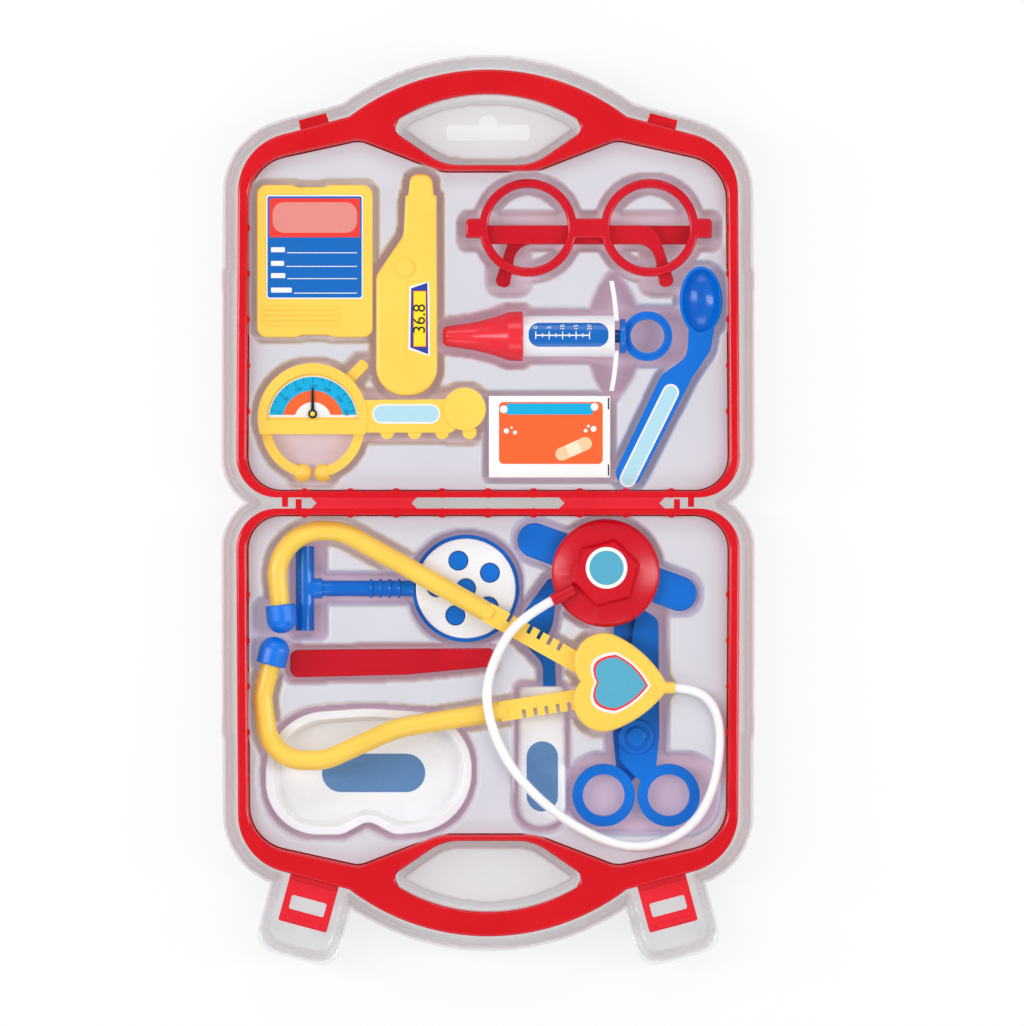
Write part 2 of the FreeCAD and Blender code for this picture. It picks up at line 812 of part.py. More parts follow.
def gauge():
    """Pressure gauge: half-round dial on a grip with a bulb end, and an open clip ring below."""
    x, y = GAUGE_CENTRE
    radius = size("gauge_radius")
    top = "Sizes.gauge_level + Sizes.gauge_thick"
    body = new_body("gauge_body")
    half = math.sqrt(radius**2 - (GAUGE_CUT - y) ** 2)
    head = half_disc(x, GAUGE_CUT, half, y + radius)
    add_pad(body, "gauge_head", [head], cell("gauge_level"), cell("gauge_thick"))
    add_pad(body, "gauge_grip", [outline(GAUGE_GRIP)], "Sizes.gauge_level + 1", "Sizes.gauge_thick - 1.5")
    bulb = [circle(*GAUGE_BULB, BULB_RADIUS)]
    add_pad(body, "gauge_bulb", bulb, cell("gauge_level"), cell("gauge_thick"))
    add_pad(body, "gauge_stub", [outline(GAUGE_STUB)], "Sizes.gauge_level + 3", "5")
    spots = [SCALLOP_START + step * SCALLOP_PITCH for step in range(SCALLOP_COUNT)]
    scallops = [circle(spot, SCALLOP_Y, SCALLOP_RADIUS) for spot in spots]
    add_pad(body, "gauge_scallops", scallops, "Sizes.gauge_level + 2", "Sizes.gauge_thick - 3")
    arms = [clip_arm(-1), clip_arm(1)]
    add_pad(body, "gauge_clip", arms, "Sizes.gauge_level + 1", cell("clip_thick"))
    for index, ball in enumerate(CLIP_BALLS):
        form = body.newObject("PartDesign::AdditiveSphere", f"gauge_ball_{index}")
        form.Radius = CLIP_BALL_RADIUS
        middle = Vector(ball, CLIP_BALL_Y, size("gauge_level") + CLIP_BALL_RADIUS)
        form.Placement = Placement(middle, Rotation())
    dial = half_disc(x, DIAL_CUT, DIAL_RADIUS, DIAL_CUT + DIAL_RADIUS)
    add_pocket(body, "gauge_dial", [dial], top, "2.0")
    add_pad(body, "gauge_pivot", [circle(*NEEDLE_PIVOT, 1.2)], top + " - 2.5", "2.2")
    needle = new_body("gauge_needle")
    px, py = NEEDLE_PIVOT
    tip = py + NEEDLE_LENGTH
    blade = outline([(px + 0.9, py, 0), (px + 0.5, tip, 0), (px - 0.5, tip, 0), (px - 0.9, py, 0)])
    add_pad(needle, "needle_blade", [blade], top + " - 1.6", "0.7")
    add_pad(needle, "needle_hub", [circle(px, py, 2.2)], top + " - 1.6", "0.9")
    add_pocket(needle, "needle_eye", [circle(px, py, 1.25)], top, "2")


gauge()


def carton():
    """Hollow folding box for plasters."""
    board = size("carton_board")
    place = Placement(Vector(CARTON_X, CARTON_Y, size("carton_level")), Rotation())
    outside = add_box("carton_outside", "carton_length", "carton_width", "carton_height", place)
    inside = doc.addObject("Part::Box", "carton_inside")
    for side in ("Length", "Width", "Height"):
        inside.setExpression(side, f"Sizes.carton_{side.lower()} - 2 * Sizes.carton_board")
    inside.Placement = place.multiply(Placement(Vector(board, board, board), Rotation()))
    box = doc.addObject("Part::Cut", "bandage_carton")
    box.Label = "bandage_carton"
    box.Base = outside
    box.Tool = inside
    parts_made.append(box)


carton()

# Toys in the base


def add_pipe(body, name, path, level, radius):
    """A round rod along a flat path of runs and arcs."""
    spine = add_sketch(body, name + "_path", [path], level)
    doc.recompute()
    section = body.newObject("Sketcher::SketchObject", name + "_section")
    section.AttachmentSupport = [(spine, "Edge1")]
    section.MapMode = "NormalToEdge"
    section.MapPathParameter = 0.0
    section.addGeometry(Part.Circle(Vector(), Vector(0, 0, 1), size("arm_radius")), False)
    section.addConstraint(Sketcher.Constraint("Coincident", 0, 3, -1, 1))
    section.addConstraint(Sketcher.Constraint("Radius", 0, size("arm_radius")))
    section.setExpression("Constraints[1]", radius)
    pipe = body.newObject("PartDesign::AdditivePipe", name)
    pipe.Profile = section
    pipe.Spine = (spine, [f"Edge{n}" for n in range(1, len(path) + 1)])
    return pipe


UPPER_ARM = [(-102.2, -50.0, 0), (-106.0, -13.6, 22.0), (-72.0, -13.6, 25.0), (2.0, -55.0, 0)]
LOWER_ARM = [
    (-106.9, -79.6, 0),
    (-111.0, -95.0, 18.0),
    (-107.0, -126.5, 19.0),
    (-80.0, -126.5, 24.0),
    (-45.0, -110.6, 60.0),
    (9.0, -102.0, 0),
]
HEART = [
    (45.4, -87.6),
    (44.0, -71.4),
    (61.4, -64.4),
    (77.4, -75.0),
    (88.7, -90.7),
    (75.6, -104.0),
    (60.6, -111.8),
    (43.8, -104.6),
]
HEART_TIP = HEART[4]
TOOTH_COUNT = 6
TOOTH_START = 10.5
TOOTH_PITCH = 5.6
TOOTH_SLOT = (1.9, 4.2)
BAR_HALF = 4.9
BAR_OVERLAP = 3.0
UPPER_BAR = 58.0
LOWER_BAR = 44.0


def stethoscope_arm(label, corners, length, tooth_side):
    """A curved ear tube that flattens into a toothed bar at the heart."""
    body = new_body(label)
    points = [flat(x, y) for x, y, radius in corners]
    path = run_edges(points, [radius for x, y, radius in corners], False)
    add_pipe(body, label + "_tube", path, cell("arm_level"), cell("arm_radius"))
    way = (points[-1] - points[-2]).normalize()
    cross = flat(-way.y, way.x) * tooth_side
    start = points[-1] - way * BAR_OVERLAP

    def block(along, reach, low, high):
        """A rectangle in the bar's own directions."""
        ends = [(along, low), (along + reach, low), (along + reach, high), (along, high)]
        spots = [start + way * forward + cross * aside for forward, aside in ends]
        return outline([(spot.x, spot.y, 0) for spot in spots])

    bar = block(0, length, -BAR_HALF, BAR_HALF)
    add_pad(body, label + "_bar", [bar], "Sizes.arm_level - 3.5", "7")
    width, depth = TOOTH_SLOT
    slots = []
    for index in range(TOOTH_COUNT):
        slots.append(block(TOOTH_START + index * TOOTH_PITCH, width, BAR_HALF - depth, BAR_HALF + 1))
    add_pocket(body, label + "_teeth", slots, "Sizes.arm_level + 4", "8")
    add_pocket(body, label + "_seat", [arcs_through(HEART)], "Sizes.arm_level + 4", "8")


stethoscope_arm("stethoscope_arm_upper", UPPER_ARM, UPPER_BAR, 1)
stethoscope_arm("stethoscope_arm_lower", LOWER_ARM, LOWER_BAR, -1)

TIP_RADIUS = 7.4
TIP_LENGTH = 14.0


def ear_tip(label, corners):
    """A soft dome on the end of an ear tube."""
    start = flat(*corners[0][:2])
    way = (start - flat(*corners[1][:2])).normalize()
    body = new_body(label)
    crown = TIP_RADIUS - 0.6
    dome = outline([(0, 0, 0), (TIP_RADIUS, 0, 0), (TIP_RADIUS, TIP_LENGTH, crown), (0, TIP_LENGTH, 0)])
    add_turned(body, label + "_dome", [dome])
    turn = Rotation(Vector(0, 0, 1), way)
    body.Placement = Placement(start + Vector(0, 0, size("arm_level")), turn)


ear_tip("ear_tip_upper", UPPER_ARM)
ear_tip("ear_tip_lower", LOWER_ARM)


def heart():
    """Yoke of the stethoscope: two heart-shaped halves, with a spout for the hose at the point."""
    for label, level, thick in (
        ("heart_back", "heart_level", "heart_back_thick"),
        ("heart_front", "heart_front_level", "heart_front_thick"),
    ):
        body = new_body(label)
        add_pad(body, label + "_plate", [arcs_through(HEART)], cell(level), cell(thick))
    front = doc.getObject("heart_front")
    top = size("heart_front_level") + size("heart_front_thick")
    add_fillet(front, "heart_round", "1.6", at_height(top))
    spout = circle(HEART_TIP[1], size("spout_level"), size("spout_radius"))
    add_pad(front, "heart_spout", [spout], f"{HEART_TIP[0] - 6}", "9", plane="YZ_Plane")


heart()

CHEST_CENTRE = (57.8, -34.4)
CHEST_SPOUT_WAY = (-0.89, -0.456)
BOSS_RADIUS = 19.0
BOSS_SIDES = 6


def chestpiece():
    """Round listening head with a faceted boss and a spout for the hose."""
    body = new_body("chestpiece")
    radius = size("chest_radius")
    profile = outline(
        [
            (0, 0, 0),
            (radius - 2, 0, 1.0),
            (radius, 2.0, 1.0),
            (radius, 6.6, 3.0),
            (17.0, 9.4, 0),
            (0, 9.4, 0),
        ]
    )
    add_turned(body, "chest_disc", [profile])
    boss = []
    for index in range(BOSS_SIDES):
        angle = math.radians(index * 360 / BOSS_SIDES + 15)
        boss.append((BOSS_RADIUS * math.cos(angle), BOSS_RADIUS * math.sin(angle), 3.0))
    add_pad(body, "chest_boss", [outline(boss)], "7.4", "5.0", taper="-30")
    spout = body.newObject("PartDesign::AdditiveCylinder", "chest_spout")
    spout.setExpression("Radius", cell("spout_radius"))
    spout.Height = 12.0
    way = flat(*CHEST_SPOUT_WAY)
    base = way * 17.5 + Vector(0, 0, size("spout_level") - size("chest_level"))
    spout.Placement = Placement(base, Rotation(Vector(0, 0, 1), way))
    body.Placement = Placement(Vector(*CHEST_CENTRE, size("chest_level")), Rotation())


chestpiece()

# Route of the stethoscope's hose, from the heart's spout to the chestpiece's spout
HOSE_ROUTE = [
    (91.7, -90.7, 26.8),
    (102.0, -91.6, 26.8),
    (110.4, -98.2, 26.3),
    (114.2, -109.2, 26.2),
    (114.0, -123.5, 26.2),
    (110.6, -141.0, 26.2),
    (102.0, -157.0, 26.2),
    (86.5, -167.2, 26.2),
    (68.0, -169.4, 26.2),
    (47.0, -161.5, 26.2),
    (27.0, -147.5, 26.4),
    (11.0, -130.0, 27.2),
    (1.5, -110.5, 28.1),
    (-1.5, -91.5, 28.2),
    (4.0, -74.2, 28.2),
    (14.7, -57.2, 28.1),
    (31.5, -47.9, 26.8),
]


def hose():
    """White hose of straight runs and the widest tangent arcs that fit them."""
    points = [Vector(*point) for point in HOSE_ROUTE]
    radii = [0.0]
    for before, point, after in zip(points, points[1:], points[2:]):
        shorter = min((point - before).Length, (after - point).Length)
        turn = math.pi - (before - point).getAngle(after - point)
        radii.append(0.45 * shorter / math.tan(turn / 2))
    radii.append(0.0)
    print("hose radii", [round(radius, 1) for radius in radii[1:-1]])
    path = Part.Wire([edge.toShape() for edge in run_edges(points, radii, False)])
    way = (points[1] - points[0]).normalize()
    section = Part.Wire(Part.Circle(points[0], way, size("hose_radius")).toShape())
    tube = path.makePipeShell([section], True, False)
    expected = math.pi * size("hose_radius") ** 2 * path.Length
    print("hose volume", round(tube.Volume), "of", round(expected), "length", round(path.Length))
    add_shape("stethoscope_hose", tube)


hose()

HAMMER_Y = -42.1
HAMMER_HEAD_X = -90.4
DISC_CENTRE = (-11.0, -42.1)
ROD_SINK = 1.1
ROD_RINGS = 4
HEAD_COLLAR = 8.6
RING_PITCH = 4.6
DOT_RING = 14.2
DOT_TURN = 33.0


def dot_places():
    """Middle and five surrounding dots of the disc."""
    places = [(0.0, 0.0)]
    for index in range(5):
        angle = math.radians(DOT_TURN + index * 72)
        places.append((DOT_RING * math.cos(angle), DOT_RING * math.sin(angle)))
    return places


def hammer():
    """Reflex hammer: a cross head on a ringed rod that ends in a round disc under a holed white cover."""
    head = new_body("hammer_head")
    bar = head.newObject("PartDesign::AdditiveCylinder", "hammer_bar")
    bar.setExpression("Radius", cell("hammer_head_radius"))
    bar.setExpression("Height", cell("hammer_head_length"))
    half = size("hammer_head_length") / 2
    bar.Placement = Placement(Vector(0, half, 0), Rotation(Vector(1, 0, 0), 90))
    collar = head.newObject("PartDesign::AdditiveCylinder", "hammer_collar")
    collar.Radius = 5.0
    collar.Height = HEAD_COLLAR
    collar.Placement = Placement(Vector(0, 0, 0), Rotation(Vector(0, 1, 0), 90))
    head.Placement = Placement(Vector(HAMMER_HEAD_X, HAMMER_Y, size("hammer_axis")), Rotation())
    handle = new_body("hammer_handle")
    rod = size("hammer_rod_radius")
    start = HAMMER_HEAD_X + HEAD_COLLAR - DISC_CENTRE[0]
    end = ROD_SINK - size("disc_radius")
    profile = outline([(start, 0, 0), (start, rod, 0), (end, rod, 0), (end, 0, 0)])
    add_turned(handle, "hammer_rod", [profile], "H_Axis")
    for index in range(ROD_RINGS):
        ring = handle.newObject("PartDesign::AdditiveTorus", f"hammer_ring_{index}")
        ring.Radius1 = rod
        ring.Radius2 = 0.9
        middle = start + 24.0 + index * RING_PITCH
        ring.Placement = Placement(Vector(middle, 0, 0), Rotation(Vector(0, 1, 0), 90))
    lift = "Sizes.disc_level - Sizes.hammer_axis"
    disc = [circle(0, 0, size("disc_radius"))]
    add_pad(handle, "hammer_disc", disc, lift, cell("disc_thick"))
    dots = [circle(x, y, size("dot_radius") - 0.4) for x, y in dot_places()]
    add_pad(handle, "hammer_dots", dots, "Sizes.cover_level - Sizes.hammer_axis - 1", "2.6")
    handle.Placement = Placement(Vector(*DISC_CENTRE, size("hammer_axis")), Rotation())
    cover = new_body("hammer_cover")
    holes = [circle(x, y, size("dot_radius")) for x, y in dot_places()]
    plate = [circle(0, 0, size("cover_radius"))] + holes
    add_pad(cover, "cover_plate", plate, cell("cover_level"), cell("cover_thick"))
    add_fillet(cover, "cover_round", "0.8", at_height(size("cover_level") + size("cover_thick")))
    cover.Placement = Placement(Vector(*DISC_CENTRE, 0), Rotation())


hammer()

TWEEZERS = [
    (-97.6, -72.4, 4.0),
    (2.4, -71.6, 2.0),
    (2.4, -80.6, 2.0),
    (-40.0, -84.6, 30.0),
    (-97.6, -86.0, 4.0),
]


def tweezers():
    """Two springy arms, joined at the broad end."""
    body = new_body("tweezers")
    add_pad(body, "tweezers_plan", [outline(TWEEZERS)], cell("tweezers_level"), cell("tweezers_thick"))
    middle = size("tweezers_level") + size("tweezers_thick") / 2
    half = size("tweezers_gap") / 2
    gap = rectangle(-86.0, middle - half, 6.0, middle + half, 1.6)
    add_pocket(body, "tweezers_gap_cut", [gap], "0", "240", plane="XZ_Plane", middle=True)


tweezers()

KIDNEY = [
    (-109.6, -104.6, 30.0),
    (-60.0, -101.0, 90.0),
    (-8.0, -104.6, 28.0),
    (-8.0, -160.0, 30.0),
    (-46.0, -163.4, 10.0),
    (-59.0, -156.4, 8.0),
    (-72.0, -163.4, 10.0),
    (-109.6, -163.4, 26.0),
]


def kidney_dish():
    """Kidney-shaped dish with flared walls and a rolled rim."""
    body = new_body("kidney_dish")
    rim = "Sizes.dish_level + Sizes.dish_height"
    inset = face_edges(grown(outline(KIDNEY), -2.4))
    add_pad(body, "dish_form", [inset], rim, cell("dish_height"), "-14", True)
    add_pad(body, "dish_rim", [outline(KIDNEY)], rim, "2.0", downward=True)
    hollow = face_edges(grown(outline(KIDNEY), -2.4 - size("dish_wall")))
    add_pocket(body, "dish_hollow", [hollow], rim, "Sizes.dish_height - Sizes.dish_wall", "-14")


kidney_dish()

MIRROR_HANDLE = [(15.0, -90.2, 3.0), (38.0, -90.2, 3.0), (38.4, -159.6, 11.0), (14.6, -159.6, 11.0)]
LEAF_CENTRE = (24.6, -56.2)
LEAF_HALF = (8.8, 21.6)
LEAF_TILT = -19.0
LEAF_POINT = 29.2
NECK = [
    (24.5, -66.0, 0),
    (33.0, -74.0, 9.0),
    (33.4, -90.2, 0),
    (27.0, -90.2, 0),
    (27.0, -79.0, 10.0),
    (18.5, -70.0, 0),
]


def leaf_outline():
    """The tilted leaf of the mirror's head."""
    turn = Rotation(Vector(0, 0, 1), LEAF_TILT)
    wide, tall = LEAF_HALF
    widest = -tall * 0.2
    leaf = [(0, -tall, 5.0), (wide, widest, 16.0), (0.2 * wide, LEAF_POINT, 3.0), (-wide, widest, 16.0)]
    ends = []
    for x, y, radius in leaf:
        point = turn.multVec(flat(x, y)) + flat(*LEAF_CENTRE)
        ends.append((point.x, point.y, radius))
    return outline(ends)


def mirror():
    """Throat mirror: white handle, and a blue leaf-shaped head on a curved neck."""
    handle = new_body("mirror_handle")
    add_pad(handle, "mirror_grip", [outline(MIRROR_HANDLE)], cell("mirror_level"), cell("mirror_thick"))
    add_fillet(handle, "mirror_round", "2.5", at_height(size("mirror_level") + size("mirror_thick")))
    head = new_body("mirror_head")
    add_pad(head, "mirror_neck", [outline(NECK)], "Sizes.mirror_level + 2", "4.5")
    add_pad(head, "mirror_leaf", [leaf_outline()], "Sizes.mirror_level + 3", cell("leaf_thick"))


mirror()

DEPRESSOR_ENDS = ((23.0, -18.4), (94.2, -44.6))
DEPRESSOR_HALF = 8.6


def depressor_outline():
    """A long slot shape."""
    start, end = (flat(*point) for point in DEPRESSOR_ENDS)
    way = (end - start).normalize()
    cross = flat(-way.y, way.x) * DEPRESSOR_HALF
    return [
        Part.LineSegment(start - cross, end - cross),
        Part.Arc(end - cross, end + way * DEPRESSOR_HALF, end + cross),
        Part.LineSegment(end + cross, start + cross),
        Part.Arc(start + cross, start - way * DEPRESSOR_HALF, start - cross),
    ]


def depressor():
    """Flat stick with round ends."""
    body = new_body("tongue_depressor")
    stick = [depressor_outline()]
    add_pad(body, "depressor_stick", stick, cell("depressor_level"), cell("depressor_thick"))
    add_fillet(body, "depressor_round", "1.0", at_height(size("depressor_level") + size("depressor_thick")))


depressor()

PIVOT = (73.0, -115.2)
FINGER_RINGS = (57.0, 89.0)
FINGER_Y = -144.1
SHANK = [
    (9.5, -18.0, 4.0),
    (11.4, 0, 6.0),
    (11.0, 58.0, 6.0),
    (0.4, 64.6, 3.0),
    (-9.0, 0, 8.0),
    (-8.0, -12.0, 6.0),
    (4.0, -24.0, 2.0),
]
RIVET_HEAD = (8.6, 1.3)
RIVET_GROOVE = (6.3, 4.9, 0.6)
RIVET_DOME = 1.9


def scissor_half(label, hand, level):
    """One blade with its finger ring; hand 1 has the ring on the right."""
    px, py = PIVOT
    body = new_body(label)
    blade = outline([(px + hand * x, py + y, radius) for x, y, radius in SHANK])
    add_pad(body, label + "_blade", [blade], cell(level), cell("blade_thick"))
    across = FINGER_RINGS[0] if hand < 0 else FINGER_RINGS[1]
    ring = [circle(across, FINGER_Y, size("finger_ring"))]
    add_pad(body, label + "_ring", ring, cell("lower_blade_level"), cell("finger_thick"))
    hole = [circle(across, FINGER_Y, size("finger_hole"))]
    add_pocket(body, label + "_hole", hole, "Sizes.lower_blade_level + 9", "12")
    eye = [circle(px, py, size("rivet_hole"))]
    add_pocket(body, label + "_eye", eye, "Sizes.lower_blade_level + 9", "12")


scissor_half("scissor_lower", -1, "lower_blade_level")
scissor_half("scissor_upper", 1, "upper_blade_level")


def rivet():
    """Scissor pivot with a broad head: a ring, a groove and a dome."""
    body = new_body("scissor_rivet")
    radius = size("rivet_radius")
    top = size("upper_blade_level") + size("blade_thick") + 0.1
    low = size("lower_blade_level")
    wide, tall = RIVET_HEAD
    ring, dome, sunk = RIVET_GROOVE
    profile = outline(
        [
            (0, low, 0),
            (radius, low, 0),
            (radius, top, 0),
            (wide, top, 0),
            (wide, top + tall, 0.7),
            (ring, top + tall, 0.3),
            (ring, top + sunk, 0),
            (dome, top + sunk, 0),
            (dome, top + RIVET_DOME, 1.1),
            (0, top + RIVET_DOME, 0),
        ]
    )
    add_turned(body, "rivet_pin", [profile])
    body.Placement = Placement(Vector(*PIVOT, 0), Rotation())


rivet()
doc.recompute()

# Formed trays

PLAY = 1.0
ARM_PLAY = 0.8
SPOON_FLOOR = 14.4


def solid_between(face, low, high):
    """A flat face drawn up from one level to another."""
    lifted = face.translated(Vector(0, 0, low))
    return lifted.extrude(Vector(0, 0, high - low))


def formed_tray(label, side, pockets):
    """A thin formed sheet: a flat land with a cup for each pocket of (face, floor level)."""
    land = size("land_level")
    sheet_thick = size("sheet_thick")
    cover = grown(outline(on_side(CAVITY, side)), -0.8)
    tray = solid_between(cover, land - sheet_thick, land)
    cups = []
    hollows = []
    for face, floor in pockets:
        cups.append(solid_between(face.makeOffset2D(sheet_thick), floor - sheet_thick, land))
        hollows.append(solid_between(face, floor, land + 1))
    tray = tray.fuse(cups).cut(hollows).removeSplitter()
    add_shape(label, tray)


def arm_groove(corners, bar):
    """Room for an ear tube and its toothed bar, as a face."""
    points = [flat(x, y) for x, y, radius in corners]
    points[-1] += (points[-1] - points[-2]).normalize() * (bar - BAR_OVERLAP)
    path = Part.Wire([edge.toShape() for edge in run_edges(points, [c[2] for c in corners], False)])
    return Part.Face(path.makeOffset2D(size("arm_radius") + ARM_PLAY))


def round_the_lens(across):
    """Ring-shaped room for one eye of the spectacles, as a face; the land inside it stays up."""
    outside = face_of(circle(across, LENS_Y, LENS_OUTER + PLAY))
    return outside.cut(face_of(circle(across, LENS_Y, LENS_INNER - 1.2))).Faces[0]


def round_the_nozzle():
    """Tapered room for the syringe's nozzle, as a face."""
    half = [(-24.4, 6.6, 4.0), (-7.0, 8.6, 0), (3.0, 11.0, 0), (10.0, 14.0, 0), (19.0, 14.0, 3.0)]
    upper = [(x, SYRINGE_Y + reach, radius) for x, reach, radius in half]
    lower = [(x, SYRINGE_Y - reach, radius) for x, reach, radius in reversed(half)]
    return face_of(outline(upper + lower))


def round_the_flange():
    """Lens-shaped room for the bowed flange, as a face."""
    top, bottom = (61.2, SYRINGE_Y + 30.2), (61.2, SYRINGE_Y - 30.2)
    return face_of(arcs_through([top, (50.0, SYRINGE_Y), bottom, (74.0, SYRINGE_Y)]))


deep = size("deep_floor")
temple_floor = size("right_temple_level") - 0.5
lid_pockets = [
    (grown(badge_outline(), PLAY), size("badge_level") - 0.4),
    (grown(outline(THERMOMETER), PLAY), size("thermo_back_level") - 0.4),
    (face_of(rectangle(-13.0, 125.6, 113.0, 141.6, 4.0)), temple_floor),
    (face_of(rectangle(1.0, 103.4, 20.0, 131.0, 6.0)), temple_floor),
    (face_of(rectangle(76.0, 103.4, 94.0, 131.0, 6.0)), temple_floor),
    (round_the_lens(LENS_X[0]), temple_floor),
    (round_the_lens(LENS_X[1]), temple_floor),
    (round_the_nozzle(), deep),
    (face_of(rectangle(14.0, 70.4, 66.0, 93.8, 2.0)), deep),
    (face_of(rectangle(56.0, 68.8, 99.4, 95.4, 13.0)), deep),
    (round_the_flange(), deep),
    (grown(outline(SPOON_HANDLE), PLAY), SPOON_FLOOR),
    (face_of(circle(*GAUGE_CENTRE, size("gauge_radius") + PLAY)), size("gauge_level") - 0.4),
    (face_of(circle(*CLIP_CENTRE, size("clip_radius") + CLIP_HALF + PLAY)), size("gauge_level") - 0.4),
    (face_of(rectangle(-97.4, 9.0, -75.0, 26.0, 5.0)), size("gauge_level") - 0.4),
    (face_of(rectangle(-22.0, 30.2, -4.6, 42.0, 4.0)), size("gauge_level") - 0.4),
    (grown(outline(GAUGE_GRIP), 4.2), size("gauge_level") - 0.4),
    (face_of(circle(*GAUGE_BULB, BULB_RADIUS + PLAY)), size("gauge_level") - 0.4),
    (grown(outline(GAUGE_STUB), 2.0), size("gauge_level") - 0.4),
    (face_of(rectangle(CARTON_X - 0.9, CARTON_Y - 0.9, CARTON_X + 60.5, CARTON_Y + 41.1, 2.0)), 7.5),
]
bowl_wide = BOWL_HALF[0] + PLAY
bowl_tall = BOWL_HALF[1] + PLAY
bowl_pocket = rectangle(
    BOWL_CENTRE[0] - bowl_wide,
    BOWL_CENTRE[1] - bowl_tall,
    BOWL_CENTRE[0] + bowl_wide,
    BOWL_CENTRE[1] + bowl_tall,
    bowl_wide - 0.4,
)
lid_pockets.append((face_of(bowl_pocket), SPOON_FLOOR))
formed_tray("lid_tray", 1, lid_pockets)

arm_floor = size("arm_level") - size("arm_radius") - 0.5
base_pockets = [
    (arm_groove(UPPER_ARM, UPPER_BAR), arm_floor),
    (arm_groove(LOWER_ARM, LOWER_BAR), arm_floor),
    (face_of(rectangle(-114.6, -83.0, -93.4, -48.0, 6.0)), 12.6),
    (face_of(circle(*CHEST_CENTRE, size("chest_radius") + 0.4)), size("depressor_level") - 0.5),
    (grown(arcs_through(HEART), PLAY), 15.0),
    (face_of(rectangle(-96.6, -65.0, -80.4, -19.6, 3.0)), deep),
    (face_of(rectangle(-84.0, -48.4, -30.0, -35.8, 2.0)), deep),
    (face_of(circle(*DISC_CENTRE, size("disc_radius") + PLAY)), deep),
    (grown(outline(TWEEZERS), PLAY), size("tweezers_level") - 0.4),
    (grown(outline(KIDNEY), PLAY), deep),
    (grown(outline(MIRROR_HANDLE), PLAY), size("mirror_level") - 0.4),
    (grown(leaf_outline(), 1.6), size("mirror_level") - 0.4),
    (grown(outline(NECK), 1.6), size("mirror_level") - 0.4),
    (face_of(rectangle(59.0, -132.0, 87.0, -46.0, 6.0)), size("lower_blade_level") - 0.4),
    (face_of(rectangle(40.4, -161.4, 112.0, -124.0, 16.0)), size("lower_blade_level") - 0.4),
    (grown(depressor_outline(), PLAY), size("depressor_level") - 0.5),
]
formed_tray("base_tray", -1, base_pockets)

BAY_HALF = 18.3
BAY_ROOT = 10.0
BAY_REACH = 38.0
BAY_ROUND = 9.0
PLUG_GAP = 2.5
PLUG_HEIGHT = 17.0
HANG_HALF = 20.5
HANG_Y = 182.3
HANG_LOW = 3.9
HANG_BUMP = 4.9


def latch_bay(hand, more):
    """Room for an open latch in the clear tray, as a face, wider all round by a little more."""
    point, along, out = edge_frame(-1, hand * LATCH_ACROSS)
    half = along * (BAY_HALF + more)
    near = point - out * BAY_ROOT
    far = point + out * (BAY_REACH + more)
    ends = [(near - half, 0), (near + half, 0), (far + half, BAY_ROUND), (far - half, BAY_ROUND)]
    return face_of(outline([(end.x, end.y, radius) for end, radius in ends]))


def film_block(margin, low, high):
    """Plan of the clear tray round both halves and the open latches, drawn up between two levels."""
    plans = [grown(outer_outline(side), margin) for side in (1, -1)]
    plans += [latch_bay(hand, margin - size("film_margin")) for hand in (-1, 1)]
    first, *others = [solid_between(plan, low, high) for plan in plans]
    return first.fuse(others).removeSplitter()


def display_tray():
    """Clear formed tray: a floor, a wall with a turned-out lip, and a plug up into each handle opening."""
    film = size("film_thick")
    wall = size("film_wall")
    margin = size("film_margin")
    tray = film_block(margin, 0, wall).fuse(film_block(margin + size("film_lip"), wall - film, wall))
    tray = tray.cut(film_block(margin - film, film, wall + 1))
    for side in (1, -1):
        plug = grown(opening_outline(side), -PLUG_GAP)
        tray = tray.fuse(solid_between(plug, 0, PLUG_HEIGHT))
        tray = tray.cut(solid_between(plug.makeOffset2D(-film), -1, PLUG_HEIGHT - film))
    slot = face_of(rectangle(-HANG_HALF, HANG_Y - HANG_LOW, HANG_HALF, HANG_Y + HANG_LOW, 2.0))
    bump = face_of(circle(0, HANG_Y + HANG_LOW, HANG_BUMP))
    tray = tray.cut([solid_between(slot, 0, wall + 5), solid_between(bump, 0, wall + 5)])
    add_shape("display_tray", tray.removeSplitter())


display_tray()
doc.recompute()

# Every object must be sound before anything is written

for item in doc.Objects:
    if "Invalid" in item.State or "Error" in item.State:
        raise ValueError(item.Label + " failed to build")

os.makedirs("parts", exist_ok=True)
for made in parts_made:
    shape = made.Shape
    if shape.isNull() or not shape.isValid():
        raise ValueError(made.Label + " has no sound shape")
    if len(shape.Solids) != 1:
        raise ValueError(f"{made.Label} has {len(shape.Solids)} solids")
for made in parts_made:
    made.Shape.exportStep(f"parts/{made.Label}.step")
print(len(parts_made), "sub-parts")
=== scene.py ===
import json
import math

